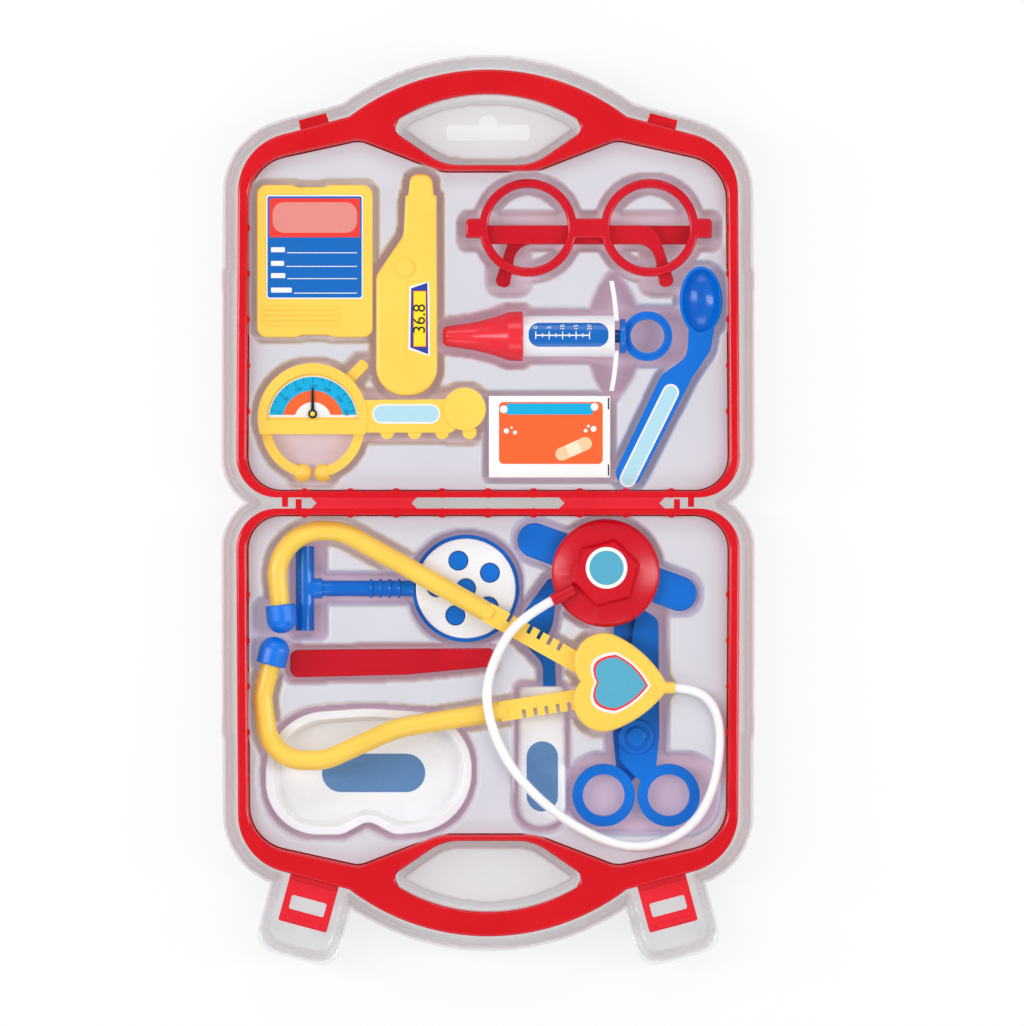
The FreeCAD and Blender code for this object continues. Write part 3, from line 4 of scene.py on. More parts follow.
import bpy
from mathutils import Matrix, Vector


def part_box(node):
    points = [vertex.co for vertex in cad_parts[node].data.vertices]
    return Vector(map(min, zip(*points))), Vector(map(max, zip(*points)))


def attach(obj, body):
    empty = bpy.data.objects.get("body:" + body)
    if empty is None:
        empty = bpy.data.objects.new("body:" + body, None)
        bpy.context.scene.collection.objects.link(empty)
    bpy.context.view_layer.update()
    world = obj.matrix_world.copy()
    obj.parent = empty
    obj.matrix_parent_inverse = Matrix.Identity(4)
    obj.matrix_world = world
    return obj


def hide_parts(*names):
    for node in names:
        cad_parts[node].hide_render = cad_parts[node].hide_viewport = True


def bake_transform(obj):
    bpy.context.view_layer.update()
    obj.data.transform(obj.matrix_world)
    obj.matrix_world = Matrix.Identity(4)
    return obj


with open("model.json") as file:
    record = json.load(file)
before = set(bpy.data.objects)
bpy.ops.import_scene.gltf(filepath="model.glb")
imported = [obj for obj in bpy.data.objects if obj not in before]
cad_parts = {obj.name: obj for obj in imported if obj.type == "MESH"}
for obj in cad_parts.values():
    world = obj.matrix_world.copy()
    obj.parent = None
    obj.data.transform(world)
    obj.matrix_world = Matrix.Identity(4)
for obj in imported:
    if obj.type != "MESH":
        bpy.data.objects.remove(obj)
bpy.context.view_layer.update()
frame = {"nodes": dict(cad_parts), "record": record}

# The studio: a plain near-white floor under soft light, seen from straight above the open case.
# Two long soft boxes stand left and right and two stand off the ends, so flat faces keep their colour
# and only rounded edges catch a streak.
MM = 0.001
VIEW_CENTRE = (11.76 * MM, -4.9 * MM)
RIM_LEVEL = 30.9 * MM
CAMERA_RISE = 3.0
FRAME_HEIGHT = 502.7 * MM
SENSOR = 36.0
ROOM_LIGHT = 0.4
FLOOR_GLOW_SHARE = 0.7
SOFT_BOXES = [
    ("left_box", (-0.95, 0.1, 0.75), (0.3, 1.3), 8.6),
    ("right_box", (0.95, -0.05, 0.75), (0.3, 1.3), 7.2),
    ("far_box", (0.0, 1.1, 0.95), (1.2, 0.5), 4.6),
    ("near_box", (0.0, -1.1, 0.95), (1.2, 0.5), 3.6),
]


def seen(red, green, blue):
    """A colour as the eye sees it, 0 to 255 a channel, in the linear values that a shader takes."""
    values = []
    for channel in (red, green, blue):
        share = channel / 255
        values.append(share / 12.92 if share < 0.04045 else ((share + 0.055) / 1.055) ** 2.4)
    return (*values, 1.0)


bpy.context.scene.view_settings.view_transform = "Standard"
bpy.ops.object.select_all(action="DESELECT")
bpy.ops.object.camera_add(location=(*VIEW_CENTRE, RIM_LEVEL + CAMERA_RISE), rotation=(0, 0, 0))
camera = bpy.context.object
camera.data.sensor_fit = "VERTICAL"
camera.data.sensor_height = SENSOR
camera.data.sensor_width = SENSOR
camera.data.lens = SENSOR * CAMERA_RISE / FRAME_HEIGHT
bpy.context.scene.camera = camera

for label, place, extent, power in SOFT_BOXES:
    bpy.ops.object.light_add(type="AREA", location=place)
    soft_box = bpy.context.object
    soft_box.name = label
    soft_box.data.shape = "RECTANGLE"
    soft_box.data.size, soft_box.data.size_y = extent
    soft_box.data.energy = power
    soft_box.rotation_euler = (-Vector(place)).to_track_quat("-Z", "Y").to_euler()

room = bpy.data.worlds.new("studio_room")
room.use_nodes = True
bpy.context.scene.world = room
nodes, links = room.node_tree.nodes, room.node_tree.links
nodes["Background"].inputs["Color"].default_value = seen(250, 250, 252)
nodes["Background"].inputs["Strength"].default_value = ROOM_LIGHT
white_room = nodes.new("ShaderNodeBackground")
white_room.inputs["Strength"].default_value = 1.0
ray = nodes.new("ShaderNodeLightPath")
either = nodes.new("ShaderNodeMixShader")
links.new(ray.outputs["Is Camera Ray"], either.inputs["Fac"])
links.new(nodes["Background"].outputs[0], either.inputs[1])
links.new(white_room.outputs[0], either.inputs[2])
links.new(either.outputs[0], nodes["World Output"].inputs["Surface"])

bpy.ops.mesh.primitive_grid_add(x_subdivisions=4, y_subdivisions=4, size=8, location=(0, 0, -0.0005))
floor = bpy.context.object
floor.name = "studio_floor"
paper = bpy.data.materials.new("floor_paper")
paper.use_nodes = True
nodes, links = paper.node_tree.nodes, paper.node_tree.links
nodes["Principled BSDF"].inputs["Base Color"].default_value = seen(240, 240, 242)
nodes["Principled BSDF"].inputs["Roughness"].default_value = 0.9
glow = nodes.new("ShaderNodeEmission")
glow.inputs["Strength"].default_value = 1.0
ray = nodes.new("ShaderNodeLightPath")
either = nodes.new("ShaderNodeMath")
either.operation = "MAXIMUM"
third = nodes.new("ShaderNodeMath")
third.operation = "MAXIMUM"
share = nodes.new("ShaderNodeMath")
share.operation = "MULTIPLY"
share.inputs[1].default_value = FLOOR_GLOW_SHARE
blend_floor = nodes.new("ShaderNodeMixShader")
links.new(ray.outputs["Is Camera Ray"], either.inputs[0])
links.new(ray.outputs["Is Glossy Ray"], either.inputs[1])
links.new(either.outputs[0], third.inputs[0])
links.new(ray.outputs["Is Transmission Ray"], third.inputs[1])
links.new(third.outputs[0], share.inputs[0])
links.new(share.outputs[0], blend_floor.inputs["Fac"])
links.new(nodes["Principled BSDF"].outputs[0], blend_floor.inputs[1])
links.new(glow.outputs[0], blend_floor.inputs[2])
links.new(blend_floor.outputs[0], nodes["Material Output"].inputs["Surface"])
floor.data.materials.append(paper)

# The clear display tray: one sheet of thin clear film, heated and drawn down over a mould.
# It stands round the whole case, fills both handle openings, and has a slot for a shop hook.
FILM_PITCH = 0.9 * MM
FILM_THICK = 0.5 * MM
FILM_KEEP = 0.26
FILM_ROUNDS = 8
FILM_PAINTED_GLOW = 0.05
# Opacity of the film on its walls and on its flats; the walls are drawn more opaque as a painted sheen.
WALL_PAINTED_SHEEN_OPACITY, FLAT_OPACITY = 0.46, 0.24
CUT_EDGE_TALLEST = 0.8 * MM
DROP_HEIGHT = 0.02
EDGE_MARGIN = 0.04 * MM


def deselect():
    """Nothing selected, in object mode."""
    bpy.ops.object.select_all(action="DESELECT")


def make_active(piece):
    """Only this piece selected."""
    deselect()
    piece.select_set(True)
    bpy.context.view_layer.objects.active = piece


def thin_edges(node):
    """The short upright faces of a CAD sheet, which are its cut edges, as a piece to fit other edges to."""
    guide = bpy.data.objects.new(node + "_edges", frame["nodes"][node].data.copy())
    bpy.context.collection.objects.link(guide)
    points = guide.data.vertices
    for point in points:
        point.select = False
    for edge in guide.data.edges:
        edge.select = False
    for face in guide.data.polygons:
        levels = [points[index].co.z for index in face.vertices]
        face.select = abs(face.normal.z) > 0.5 or max(levels) - min(levels) > CUT_EDGE_TALLEST
    make_active(guide)
    bpy.ops.object.mode_set(mode="EDIT")
    bpy.ops.mesh.select_mode(type="FACE")
    bpy.ops.mesh.delete(type="FACE")
    bpy.ops.object.mode_set(mode="OBJECT")
    return guide


def apply_step(piece, kind, **settings):
    """One modifier with its settings, made part of the piece's mesh."""
    step = piece.modifiers.new(kind.lower(), kind)
    for setting, value in settings.items():
        setattr(step, setting, value)
    make_active(piece)
    bpy.ops.object.modifier_apply(modifier=step.name)


def formed_sheet(node, name, pitch, widen, rounds, thickness, keep):
    """A sheet drawn down over a CAD node: a fine grid lowered onto it, with its cups widened and its
    corners eased as forming leaves them, and its cut edge fitted to the node's."""
    low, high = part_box(node)
    across, along = high.x - low.x - EDGE_MARGIN, high.y - low.y - EDGE_MARGIN
    start = high.z + DROP_HEIGHT
    deselect()
    bpy.ops.mesh.primitive_grid_add(
        x_subdivisions=int(across / pitch),
        y_subdivisions=int(along / pitch),
        size=1,
        location=((low.x + high.x) / 2, (low.y + high.y) / 2, start),
    )
    sheet = bpy.context.object
    sheet.name = name
    sheet.scale = (across, along, 1)
    bpy.ops.object.transform_apply(location=True, rotation=True, scale=True)
    apply_step(
        sheet,
        "SHRINKWRAP",
        target=frame["nodes"][node],
        wrap_method="PROJECT",
        use_project_z=True,
        use_negative_direction=True,
        use_positive_direction=False,
    )
    points = sheet.data.vertices
    row = sum(1 for point in points if abs(point.co.y - points[0].co.y) < 0.01 * MM)
    total = len(points)
    heights = [point.co.z for point in points]
    inside = [height < start - MM for height in heights]
    around = (-row - 1, -row, -row + 1, -1, 1, row - 1, row, row + 1)

    def neighbours(index):
        """The grid points round one point: eight, or fewer at the grid's own border."""
        near = [index + step for step in around if 0 <= index + step < total]
        return [other for other in near if abs(other % row - index % row) < 2]

    for lowering in range(widen):
        lowered = list(heights)
        for index in range(total):
            if inside[index]:
                lowered[index] = min(heights[other] for other in neighbours(index) + [index] if inside[other])
        heights = lowered
    guide = thin_edges(node)
    cut = {}

    def to_edge(index, level):
        """The nearest place on the cut edge, and how far it is."""
        spot = Vector((points[index].co.x, points[index].co.y, level))
        place = guide.closest_point_on_mesh(spot)[1]
        return place, (place - spot).xy.length

    for index in range(total):
        near = neighbours(index)
        if inside[index] and (len(near) < 8 or not all(inside[other] for other in near)):
            place, reach = to_edge(index, heights[index])
            if reach < 0.5 * pitch:
                cut[index] = place
    core = [inside[index] and index not in cut for index in range(total)]
    for index in range(total):
        if not inside[index]:
            levels = [heights[other] for other in neighbours(index) if core[other]]
            if levels:
                cut[index] = to_edge(index, max(levels))[0]
    for index in range(total):
        if index in cut:
            points[index].co = cut[index]
        elif inside[index]:
            points[index].co.z = heights[index]
    sheet.vertex_groups.new(name="rim").add(list(cut), 1.0, "REPLACE")
    for point in points:
        point.select = False
    for edge in sheet.data.edges:
        edge.select = False
    for face in sheet.data.polygons:
        face.select = not any(core[index] for index in face.vertices)
    bpy.data.objects.remove(guide)
    make_active(sheet)
    bpy.ops.object.mode_set(mode="EDIT")
    bpy.ops.mesh.select_mode(type="FACE")
    bpy.ops.mesh.delete(type="FACE")
    bpy.ops.mesh.select_all(action="SELECT")
    bpy.ops.mesh.delete_loose()
    bpy.ops.object.mode_set(mode="OBJECT")
    apply_step(sheet, "SMOOTH", factor=0.5, iterations=rounds, vertex_group="rim", invert_vertex_group=True)
    apply_step(sheet, "DECIMATE", decimate_type="COLLAPSE", ratio=keep)
    apply_step(sheet, "SOLIDIFY", thickness=thickness, offset=-1.0)
    for point in sheet.data.vertices:
        point.co = [min(max(value, least), most) for value, least, most in zip(point.co, low, high)]
    bpy.ops.object.shade_smooth_by_angle(angle=math.radians(60))
    return sheet


def fasten(piece, body, slot, *replaced):
    """The piece rides its body and stands for CAD nodes, which are hidden. The slot is not used."""
    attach(piece, body)
    if replaced:
        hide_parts(*replaced)


def new_finish(name):
    """An empty material and its nodes."""
    finish = bpy.data.materials.new(name)
    finish.use_nodes = True
    return finish, finish.node_tree.nodes, finish.node_tree.links


film, nodes, links = new_finish("clear_film")
shader = nodes["Principled BSDF"]
shader.inputs["Base Color"].default_value = seen(210, 213, 219)
shader.inputs["Specular IOR Level"].default_value = 0.8
# A faint near-white painted glow makes the film read brighter.
shader.inputs["Emission Color"].default_value = seen(250, 250, 252)
shader.inputs["Emission Strength"].default_value = FILM_PAINTED_GLOW
place = nodes.new("ShaderNodeTexCoord")
draw_marks = nodes.new("ShaderNodeTexNoise")
draw_marks.inputs["Scale"].default_value = 60
draw_marks.inputs["Detail"].default_value = 3
haze = nodes.new("ShaderNodeMapRange")
haze.inputs["To Min"].default_value = 0.03
haze.inputs["To Max"].default_value = 0.14
ripple = nodes.new("ShaderNodeBump")
ripple.inputs["Strength"].default_value = 0.25
ripple.inputs["Distance"].default_value = 0.8 * MM
# The steeper the film, the more opaque it is drawn: a painted sheen for the pale reflections along its bends.
axes = nodes.new("ShaderNodeSeparateXYZ")
level = nodes.new("ShaderNodeMath")
level.operation = "ABSOLUTE"
painted_sheen_opacity = nodes.new("ShaderNodeMapRange")
painted_sheen_opacity.inputs["From Min"].default_value = 0.2
painted_sheen_opacity.inputs["To Min"].default_value = WALL_PAINTED_SHEEN_OPACITY
painted_sheen_opacity.inputs["To Max"].default_value = FLAT_OPACITY
links.new(place.outputs["Normal"], axes.inputs[0])
links.new(axes.outputs["Z"], level.inputs[0])
links.new(level.outputs[0], painted_sheen_opacity.inputs["Value"])
links.new(painted_sheen_opacity.outputs["Result"], shader.inputs["Alpha"])
links.new(place.outputs["Object"], draw_marks.inputs["Vector"])
links.new(draw_marks.outputs["Fac"], haze.inputs["Value"])
links.new(haze.outputs["Result"], shader.inputs["Roughness"])
links.new(draw_marks.outputs["Fac"], ripple.inputs["Height"])
links.new(ripple.outputs["Normal"], shader.inputs["Normal"])

tray_film = formed_sheet(
    "display_tray", "display_tray_film", FILM_PITCH, 0, FILM_ROUNDS, FILM_THICK, FILM_KEEP
)
tray_film.data.materials.append(film)
fasten(tray_film, "display_tray", "clear_film", "display_tray")

# The case: two glossy red halves, injection moulded, each with a drafted pan, a rounded rim and
# half of the carrying handle. Their edges are eased as the mould leaves them.
RIM_ROUND = 1.3 * MM
HINGE_GAP = 2.7 * MM
FULL_ROUND_AFTER = 14 * MM
CASE_EDGE = 0.3 * MM
SAME_POINT = 0.004 * MM
COLLAPSED = 0.002 * MM
FLAT_JOIN = math.radians(0.6)
SMOOTH_BELOW = math.radians(35)


def moulded(name, colour, rough, grain=0.04, painted_glow=0.0):
    """Injection-moulded plastic: a faint flow in the colour, uneven gloss, a fine mould grain, and an even
    painted glow in its own colour, which lightens its shade."""
    finish, nodes, links = new_finish(name)
    shader = nodes["Principled BSDF"]
    # Painted glow: an even emission in the plastic's own colour.
    shader.inputs["Emission Color"].default_value = colour
    shader.inputs["Emission Strength"].default_value = painted_glow
    shader.inputs["Specular IOR Level"].default_value = 0.42
    place = nodes.new("ShaderNodeTexCoord")
    flow = nodes.new("ShaderNodeTexNoise")
    flow.inputs["Scale"].default_value = 26
    flow.inputs["Detail"].default_value = 2
    shade = nodes.new("ShaderNodeValToRGB")
    shade.color_ramp.elements[0].position = 0.25
    shade.color_ramp.elements[1].position = 0.75
    shade.color_ramp.elements[0].color = (*[channel * 0.94 for channel in colour[:3]], 1)
    shade.color_ramp.elements[1].color = (*[min(1, channel * 1.04 + 0.002) for channel in colour[:3]], 1)
    fine = nodes.new("ShaderNodeTexNoise")
    fine.inputs["Scale"].default_value = 1400
    fine.inputs["Detail"].default_value = 2
    gloss = nodes.new("ShaderNodeMapRange")
    gloss.inputs["From Min"].default_value = 0.3
    gloss.inputs["From Max"].default_value = 0.7
    gloss.inputs["To Min"].default_value = rough - 0.05
    gloss.inputs["To Max"].default_value = rough + 0.08
    skin = nodes.new("ShaderNodeBump")
    skin.inputs["Strength"].default_value = grain
    skin.inputs["Distance"].default_value = 0.2 * MM
    links.new(place.outputs["Object"], flow.inputs["Vector"])
    links.new(place.outputs["Object"], fine.inputs["Vector"])
    links.new(flow.outputs["Fac"], shade.inputs["Fac"])
    links.new(flow.outputs["Fac"], gloss.inputs["Value"])
    links.new(shade.outputs["Color"], shader.inputs["Base Color"])
    links.new(gloss.outputs["Result"], shader.inputs["Roughness"])
    links.new(fine.outputs["Fac"], skin.inputs["Height"])
    links.new(skin.outputs["Normal"], shader.inputs["Normal"])
    return finish


def taken(node, halved=False):
    """The CAD node's own mesh as a new piece, with its triangles joined into whole faces. A piece with
    openings is first cut down its middle, so that no face runs right round a hole."""
    piece = bpy.data.objects.new(node + "_finish", frame["nodes"][node].data.copy())
    bpy.context.collection.objects.link(piece)
    make_active(piece)
    bpy.ops.object.mode_set(mode="EDIT")
    bpy.ops.mesh.select_all(action="SELECT")
    bpy.ops.mesh.remove_doubles(threshold=SAME_POINT)
    if halved:
        bpy.ops.mesh.bisect(plane_co=(0, 0, 0), plane_no=(1, 0, 0))
        bpy.ops.mesh.mark_seam(clear=False)
        bpy.ops.mesh.select_all(action="SELECT")
    bpy.ops.mesh.dissolve_limited(angle_limit=FLAT_JOIN, delimit={"SEAM"})
    bpy.ops.object.mode_set(mode="OBJECT")
    return piece


def eased(piece, edge, finish, steps=3, sharp=38):
    """The piece with every corner rounded by a small radius, in its finish."""
    limit = math.radians(sharp)
    apply_step(piece, "BEVEL", width=edge, segments=steps, limit_method="ANGLE", angle_limit=limit)
    bpy.ops.object.mode_set(mode="EDIT")
    bpy.ops.mesh.select_all(action="SELECT")
    bpy.ops.mesh.remove_doubles(threshold=COLLAPSED)
    bpy.ops.mesh.dissolve_degenerate(threshold=COLLAPSED)
    bpy.ops.object.mode_set(mode="OBJECT")
    bpy.ops.object.shade_smooth_by_angle(angle=SMOOTH_BELOW)
    apply_step(piece, "WEIGHTED_NORMAL", mode="FACE_AREA", weight=50, keep_sharp=True)
    piece.data.materials.clear()
    piece.data.materials.append(finish)
    return piece


def softened(node, edge, finish, steps=3, sharp=38):
    """A piece made from a CAD node, with its corners rounded."""
    return eased(taken(node), edge, finish, steps, sharp)


def beaded(piece):
    """Rounds the top edges of a rim to a bead, which runs out towards the hinge."""
    points = piece.data.vertices
    weights = piece.data.attributes.new("bevel_weight_edge", "FLOAT", "EDGE")
    for edge in piece.data.edges:
        ends = [points[index].co for index in edge.vertices]
        if edge.use_seam or any(abs(end.z - RIM_LEVEL) > 0.01 * MM for end in ends):
            continue
        middle = (ends[0] + ends[1]) / 2
        share = min(1.0, max(0.0, (abs(middle.y) - HINGE_GAP) / FULL_ROUND_AFTER))
        weights.data[edge.index].value = share
    apply_step(piece, "BEVEL", width=RIM_ROUND, segments=6, limit_method="WEIGHT", use_clamp_overlap=False)
    return piece


# The case red has a faint painted glow in its own colour, which lightens its shade in the gaps.
case_red = moulded("case_red", seen(205, 0, 20), 0.15, painted_glow=0.07)
for node, body in (("base_shell", "base"), ("lid_shell", "lid")):
    fasten(eased(beaded(taken(node, True)), CASE_EDGE, case_red), body, "red_case", node)

# The latches: thin window flaps that swing on a web at the base's rim and snap over the lid's catches.
latch_red = moulded("latch_red", seen(226, 26, 44), 0.26)
for node in ("latch_left", "latch_right"):
    fasten(softened(node, 0.5 * MM, latch_red), node, "red_case", node)

# The folding straps and latch webs: places where the same red plastic is thinned so that it bends.
# Each is cut across into narrow strips.
WEB_STRIPS = 12
STRAP_HALF, STRAP_LEVEL = 2.4 * MM, 30.3 * MM
WEB_HALF = 1.2 * MM
WEB_SLANT, WEB_DROP = 0.26, -0.966


def bending_strip(node, start, end, finish):
    """The node's mesh, cut across into strips between two points, in its finish, standing for the node."""
    piece = bpy.data.objects.new(node + "_finish", frame["nodes"][node].data.copy())
    bpy.context.collection.objects.link(piece)
    make_active(piece)
    begin, finish_point = Vector(start), Vector(end)
    bpy.ops.object.mode_set(mode="EDIT")
    bpy.ops.mesh.select_all(action="SELECT")
    bpy.ops.mesh.remove_doubles(threshold=SAME_POINT)
    for step in range(WEB_STRIPS + 1):
        bpy.ops.mesh.select_all(action="SELECT")
        cut = begin.lerp(finish_point, step / WEB_STRIPS)
        bpy.ops.mesh.bisect(plane_co=cut, plane_no=(finish_point - begin).normalized())
    bpy.ops.object.mode_set(mode="OBJECT")
    bpy.ops.object.shade_smooth_by_angle(angle=math.radians(30))
    piece.data.materials.clear()
    piece.data.materials.append(finish)
    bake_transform(piece)
    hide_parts(node)


for node in ("hinge_strap_left", "hinge_strap_right"):
    strap_start, strap_end = (0, -STRAP_HALF, STRAP_LEVEL), (0, STRAP_HALF, STRAP_LEVEL)
    bending_strip(node, strap_start, strap_end, latch_red)
for node, joint in (("latch_left", "latch_left_swing"), ("latch_right", "latch_right_swing")):
    root = [item for item in frame["record"]["behaviour"]["joints"] if item["name"] == joint][0]
    pivot = Vector(root["pos_m"])
    hand = -1 if node == "latch_left" else 1
    way = Vector((hand * WEB_SLANT, WEB_DROP, 0)).normalized() * WEB_HALF
    bending_strip(node + "_web", tuple(pivot - way), tuple(pivot + way), latch_red)

# The two white trays: thin polystyrene sheet formed with a cup for every toy, held in the case halves
# by the small nubs along the rims. The cups are painted darker and pinker the deeper they go, as painted
# shade and painted red light from the case, and the sheet has a painted glow, strongest in the cups.
TRAY_PITCH = 0.7 * MM
TRAY_THICK = 0.5 * MM
TRAY_WIDEN, TRAY_ROUNDS, TRAY_KEEP = 2, 7, 0.5
CUP_FLOOR, LAND_LEVEL = 3 * MM, 23.4 * MM
# Colours by depth, deepest first, are painted shade and painted red light from the case; the glow in the cups
# and on the land is painted light.
SHEET_STOPS = (0.04, 0.45, 0.85, 0.96)
SHEET_PAINTED_SHADES = ((194, 168, 182), (200, 184, 196), (198, 193, 203), (196, 194, 202))
CUP_PAINTED_GLOW, LAND_PAINTED_GLOW = 0.38, 0.15


def sheet_white(name):
    """Formed white sheet: satin, with slow ripples left by the forming. Its colour is painted darker and
    pinker with depth, as painted shade in the cups and painted red light from the case, and it has a
    painted glow, strongest in the cups, that lightens their shade."""
    finish, nodes, links = new_finish(name)
    shader = nodes["Principled BSDF"]
    place = nodes.new("ShaderNodeTexCoord")
    axes = nodes.new("ShaderNodeSeparateXYZ")
    depth = nodes.new("ShaderNodeMapRange")
    depth.inputs["From Min"].default_value = CUP_FLOOR
    depth.inputs["From Max"].default_value = LAND_LEVEL
    # Painted glow: stronger in the cups than on the land, to lighten their shade.
    painted_glow = nodes.new("ShaderNodeMapRange")
    painted_glow.inputs["To Min"].default_value = CUP_PAINTED_GLOW
    painted_glow.inputs["To Max"].default_value = LAND_PAINTED_GLOW
    # Painted shade: the sheet's colour turns darker and pinker with depth.
    painted_depth_shade = nodes.new("ShaderNodeValToRGB")
    while len(painted_depth_shade.color_ramp.elements) < len(SHEET_STOPS):
        painted_depth_shade.color_ramp.elements.new(0.5)
    for mark, stop, colour in zip(painted_depth_shade.color_ramp.elements, SHEET_STOPS, SHEET_PAINTED_SHADES):
        mark.position = stop
        mark.color = seen(*colour)
    slow = nodes.new("ShaderNodeTexNoise")
    slow.inputs["Scale"].default_value = 30
    cloud = nodes.new("ShaderNodeMapRange")
    cloud.inputs["To Min"].default_value = 0.95
    cloud.inputs["To Max"].default_value = 1.03
    shade = nodes.new("ShaderNodeVectorMath")
    shade.operation = "SCALE"
    gloss = nodes.new("ShaderNodeMapRange")
    gloss.inputs["To Min"].default_value = 0.3
    gloss.inputs["To Max"].default_value = 0.44
    ripple = nodes.new("ShaderNodeBump")
    ripple.inputs["Strength"].default_value = 0.12
    ripple.inputs["Distance"].default_value = 0.5 * MM
    links.new(place.outputs["Object"], slow.inputs["Vector"])
    links.new(place.outputs["Object"], axes.inputs[0])
    links.new(axes.outputs["Z"], depth.inputs["Value"])
    links.new(depth.outputs["Result"], painted_depth_shade.inputs["Fac"])
    links.new(painted_depth_shade.outputs["Color"], shade.inputs[0])
    links.new(slow.outputs["Fac"], cloud.inputs["Value"])
    links.new(cloud.outputs["Result"], shade.inputs["Scale"])
    links.new(shade.outputs["Vector"], shader.inputs["Base Color"])
    links.new(shade.outputs["Vector"], shader.inputs["Emission Color"])
    links.new(depth.outputs["Result"], painted_glow.inputs["Value"])
    links.new(painted_glow.outputs["Result"], shader.inputs["Emission Strength"])
    links.new(slow.outputs["Fac"], gloss.inputs["Value"])
    links.new(slow.outputs["Fac"], ripple.inputs["Height"])
    links.new(gloss.outputs["Result"], shader.inputs["Roughness"])
    links.new(ripple.outputs["Normal"], shader.inputs["Normal"])
    return finish


tray_white = sheet_white("tray_white")
for node, body in (("lid_tray", "lid"), ("base_tray", "base")):
    label = node + "_sheet"
    tray = formed_sheet(node, label, TRAY_PITCH, TRAY_WIDEN, TRAY_ROUNDS, TRAY_THICK, TRAY_KEEP)
    tray.data.materials.append(tray_white)
    fasten(tray, body, "white_sheet", node)

# The name badge: one thick yellow moulding with a printed card set in its sunk field.
# The card has a blue ground, a red panel and four ruled lines to write on.
CARD_LOW, CARD_HIGH = (-108.9, 100.1), (-61.3, 151.2)
CARD_LEVEL = 26.1
RULE_ROWS = (122.8, 116.1, 110.1, 103.0)
BAR_LENGTHS = (6.8, 6.4, 7.0, 10.2)


def printed(name, colour, rough=0.3):
    """Printed, laminated paper: an even colour with a faint speckle of ink and a light gloss."""
    finish, nodes, links = new_finish(name)
    shader = nodes["Principled BSDF"]
    place = nodes.new("ShaderNodeTexCoord")
    speckle = nodes.new("ShaderNodeTexNoise")
    speckle.inputs["Scale"].default_value = 2600
    speckle.inputs["Detail"].default_value = 1
    shade = nodes.new("ShaderNodeValToRGB")
    shade.color_ramp.elements[0].color = (*[channel * 0.88 for channel in colour[:3]], 1)
    shade.color_ramp.elements[1].color = (*[min(1, channel * 1.08) for channel in colour[:3]], 1)
    slow = nodes.new("ShaderNodeTexNoise")
    slow.inputs["Scale"].default_value = 90
    gloss = nodes.new("ShaderNodeMapRange")
    gloss.inputs["To Min"].default_value = rough - 0.08
    gloss.inputs["To Max"].default_value = rough + 0.1
    links.new(place.outputs["Object"], speckle.inputs["Vector"])
    links.new(place.outputs["Object"], slow.inputs["Vector"])
    links.new(speckle.outputs["Fac"], shade.inputs["Fac"])
    links.new(shade.outputs["Color"], shader.inputs["Base Color"])
    links.new(slow.outputs["Fac"], gloss.inputs["Value"])
    links.new(gloss.outputs["Result"], shader.inputs["Roughness"])
    return finish


def raised(piece, thick):
    """Gives a flat outline its thickness, upwards, and turns its faces outwards."""
    make_active(piece)
    bpy.ops.object.mode_set(mode="EDIT")
    bpy.ops.mesh.select_all(action="SELECT")
    bpy.ops.mesh.extrude_region_move(TRANSFORM_OT_translate={"value": (0, 0, thick * MM)})
    bpy.ops.mesh.select_all(action="SELECT")
    bpy.ops.mesh.normals_make_consistent(inside=False)
    bpy.ops.object.mode_set(mode="OBJECT")
    return piece


def sticker(low, high, corner, level, thick, finish, turn=0.0):
    """A thin rectangle with rounded corners, from its opposite corners in millimetres, turned about
    its middle."""
    deselect()
    middle = ((low[0] + high[0]) / 2 * MM, (low[1] + high[1]) / 2 * MM, level * MM)
    bpy.ops.mesh.primitive_plane_add(size=1, location=middle, rotation=(0, 0, math.radians(turn)))
    piece = bpy.context.object
    piece.scale = ((high[0] - low[0]) * MM, (high[1] - low[1]) * MM, 1)
    bpy.ops.object.transform_apply(location=True, rotation=True, scale=True)
    if corner:
        bpy.ops.object.mode_set(mode="EDIT")
        bpy.ops.mesh.select_all(action="SELECT")
        bpy.ops.mesh.bevel(offset=corner * MM, segments=8, affect="VERTICES")
        bpy.ops.object.mode_set(mode="OBJECT")
    piece.data.materials.append(finish)
    return raised(piece, thick)


def dot(centre, radius, level, thick, finish, sides=40):
    """A thin round print."""
    deselect()
    place = (centre[0] * MM, centre[1] * MM, level * MM)
    bpy.ops.mesh.primitive_circle_add(vertices=sides, radius=radius * MM, fill_type="NGON", location=place)
    piece = bpy.context.object
    bpy.ops.object.transform_apply(location=True, rotation=True, scale=True)
    piece.data.materials.append(finish)
    return raised(piece, thick)


def joined(pieces, name):
    """Several prints as one piece."""
    deselect()
    for piece in pieces:
        piece.select_set(True)
    bpy.context.view_layer.objects.active = pieces[0]
    bpy.ops.object.join()
    pieces[0].name = name
    return pieces[0]


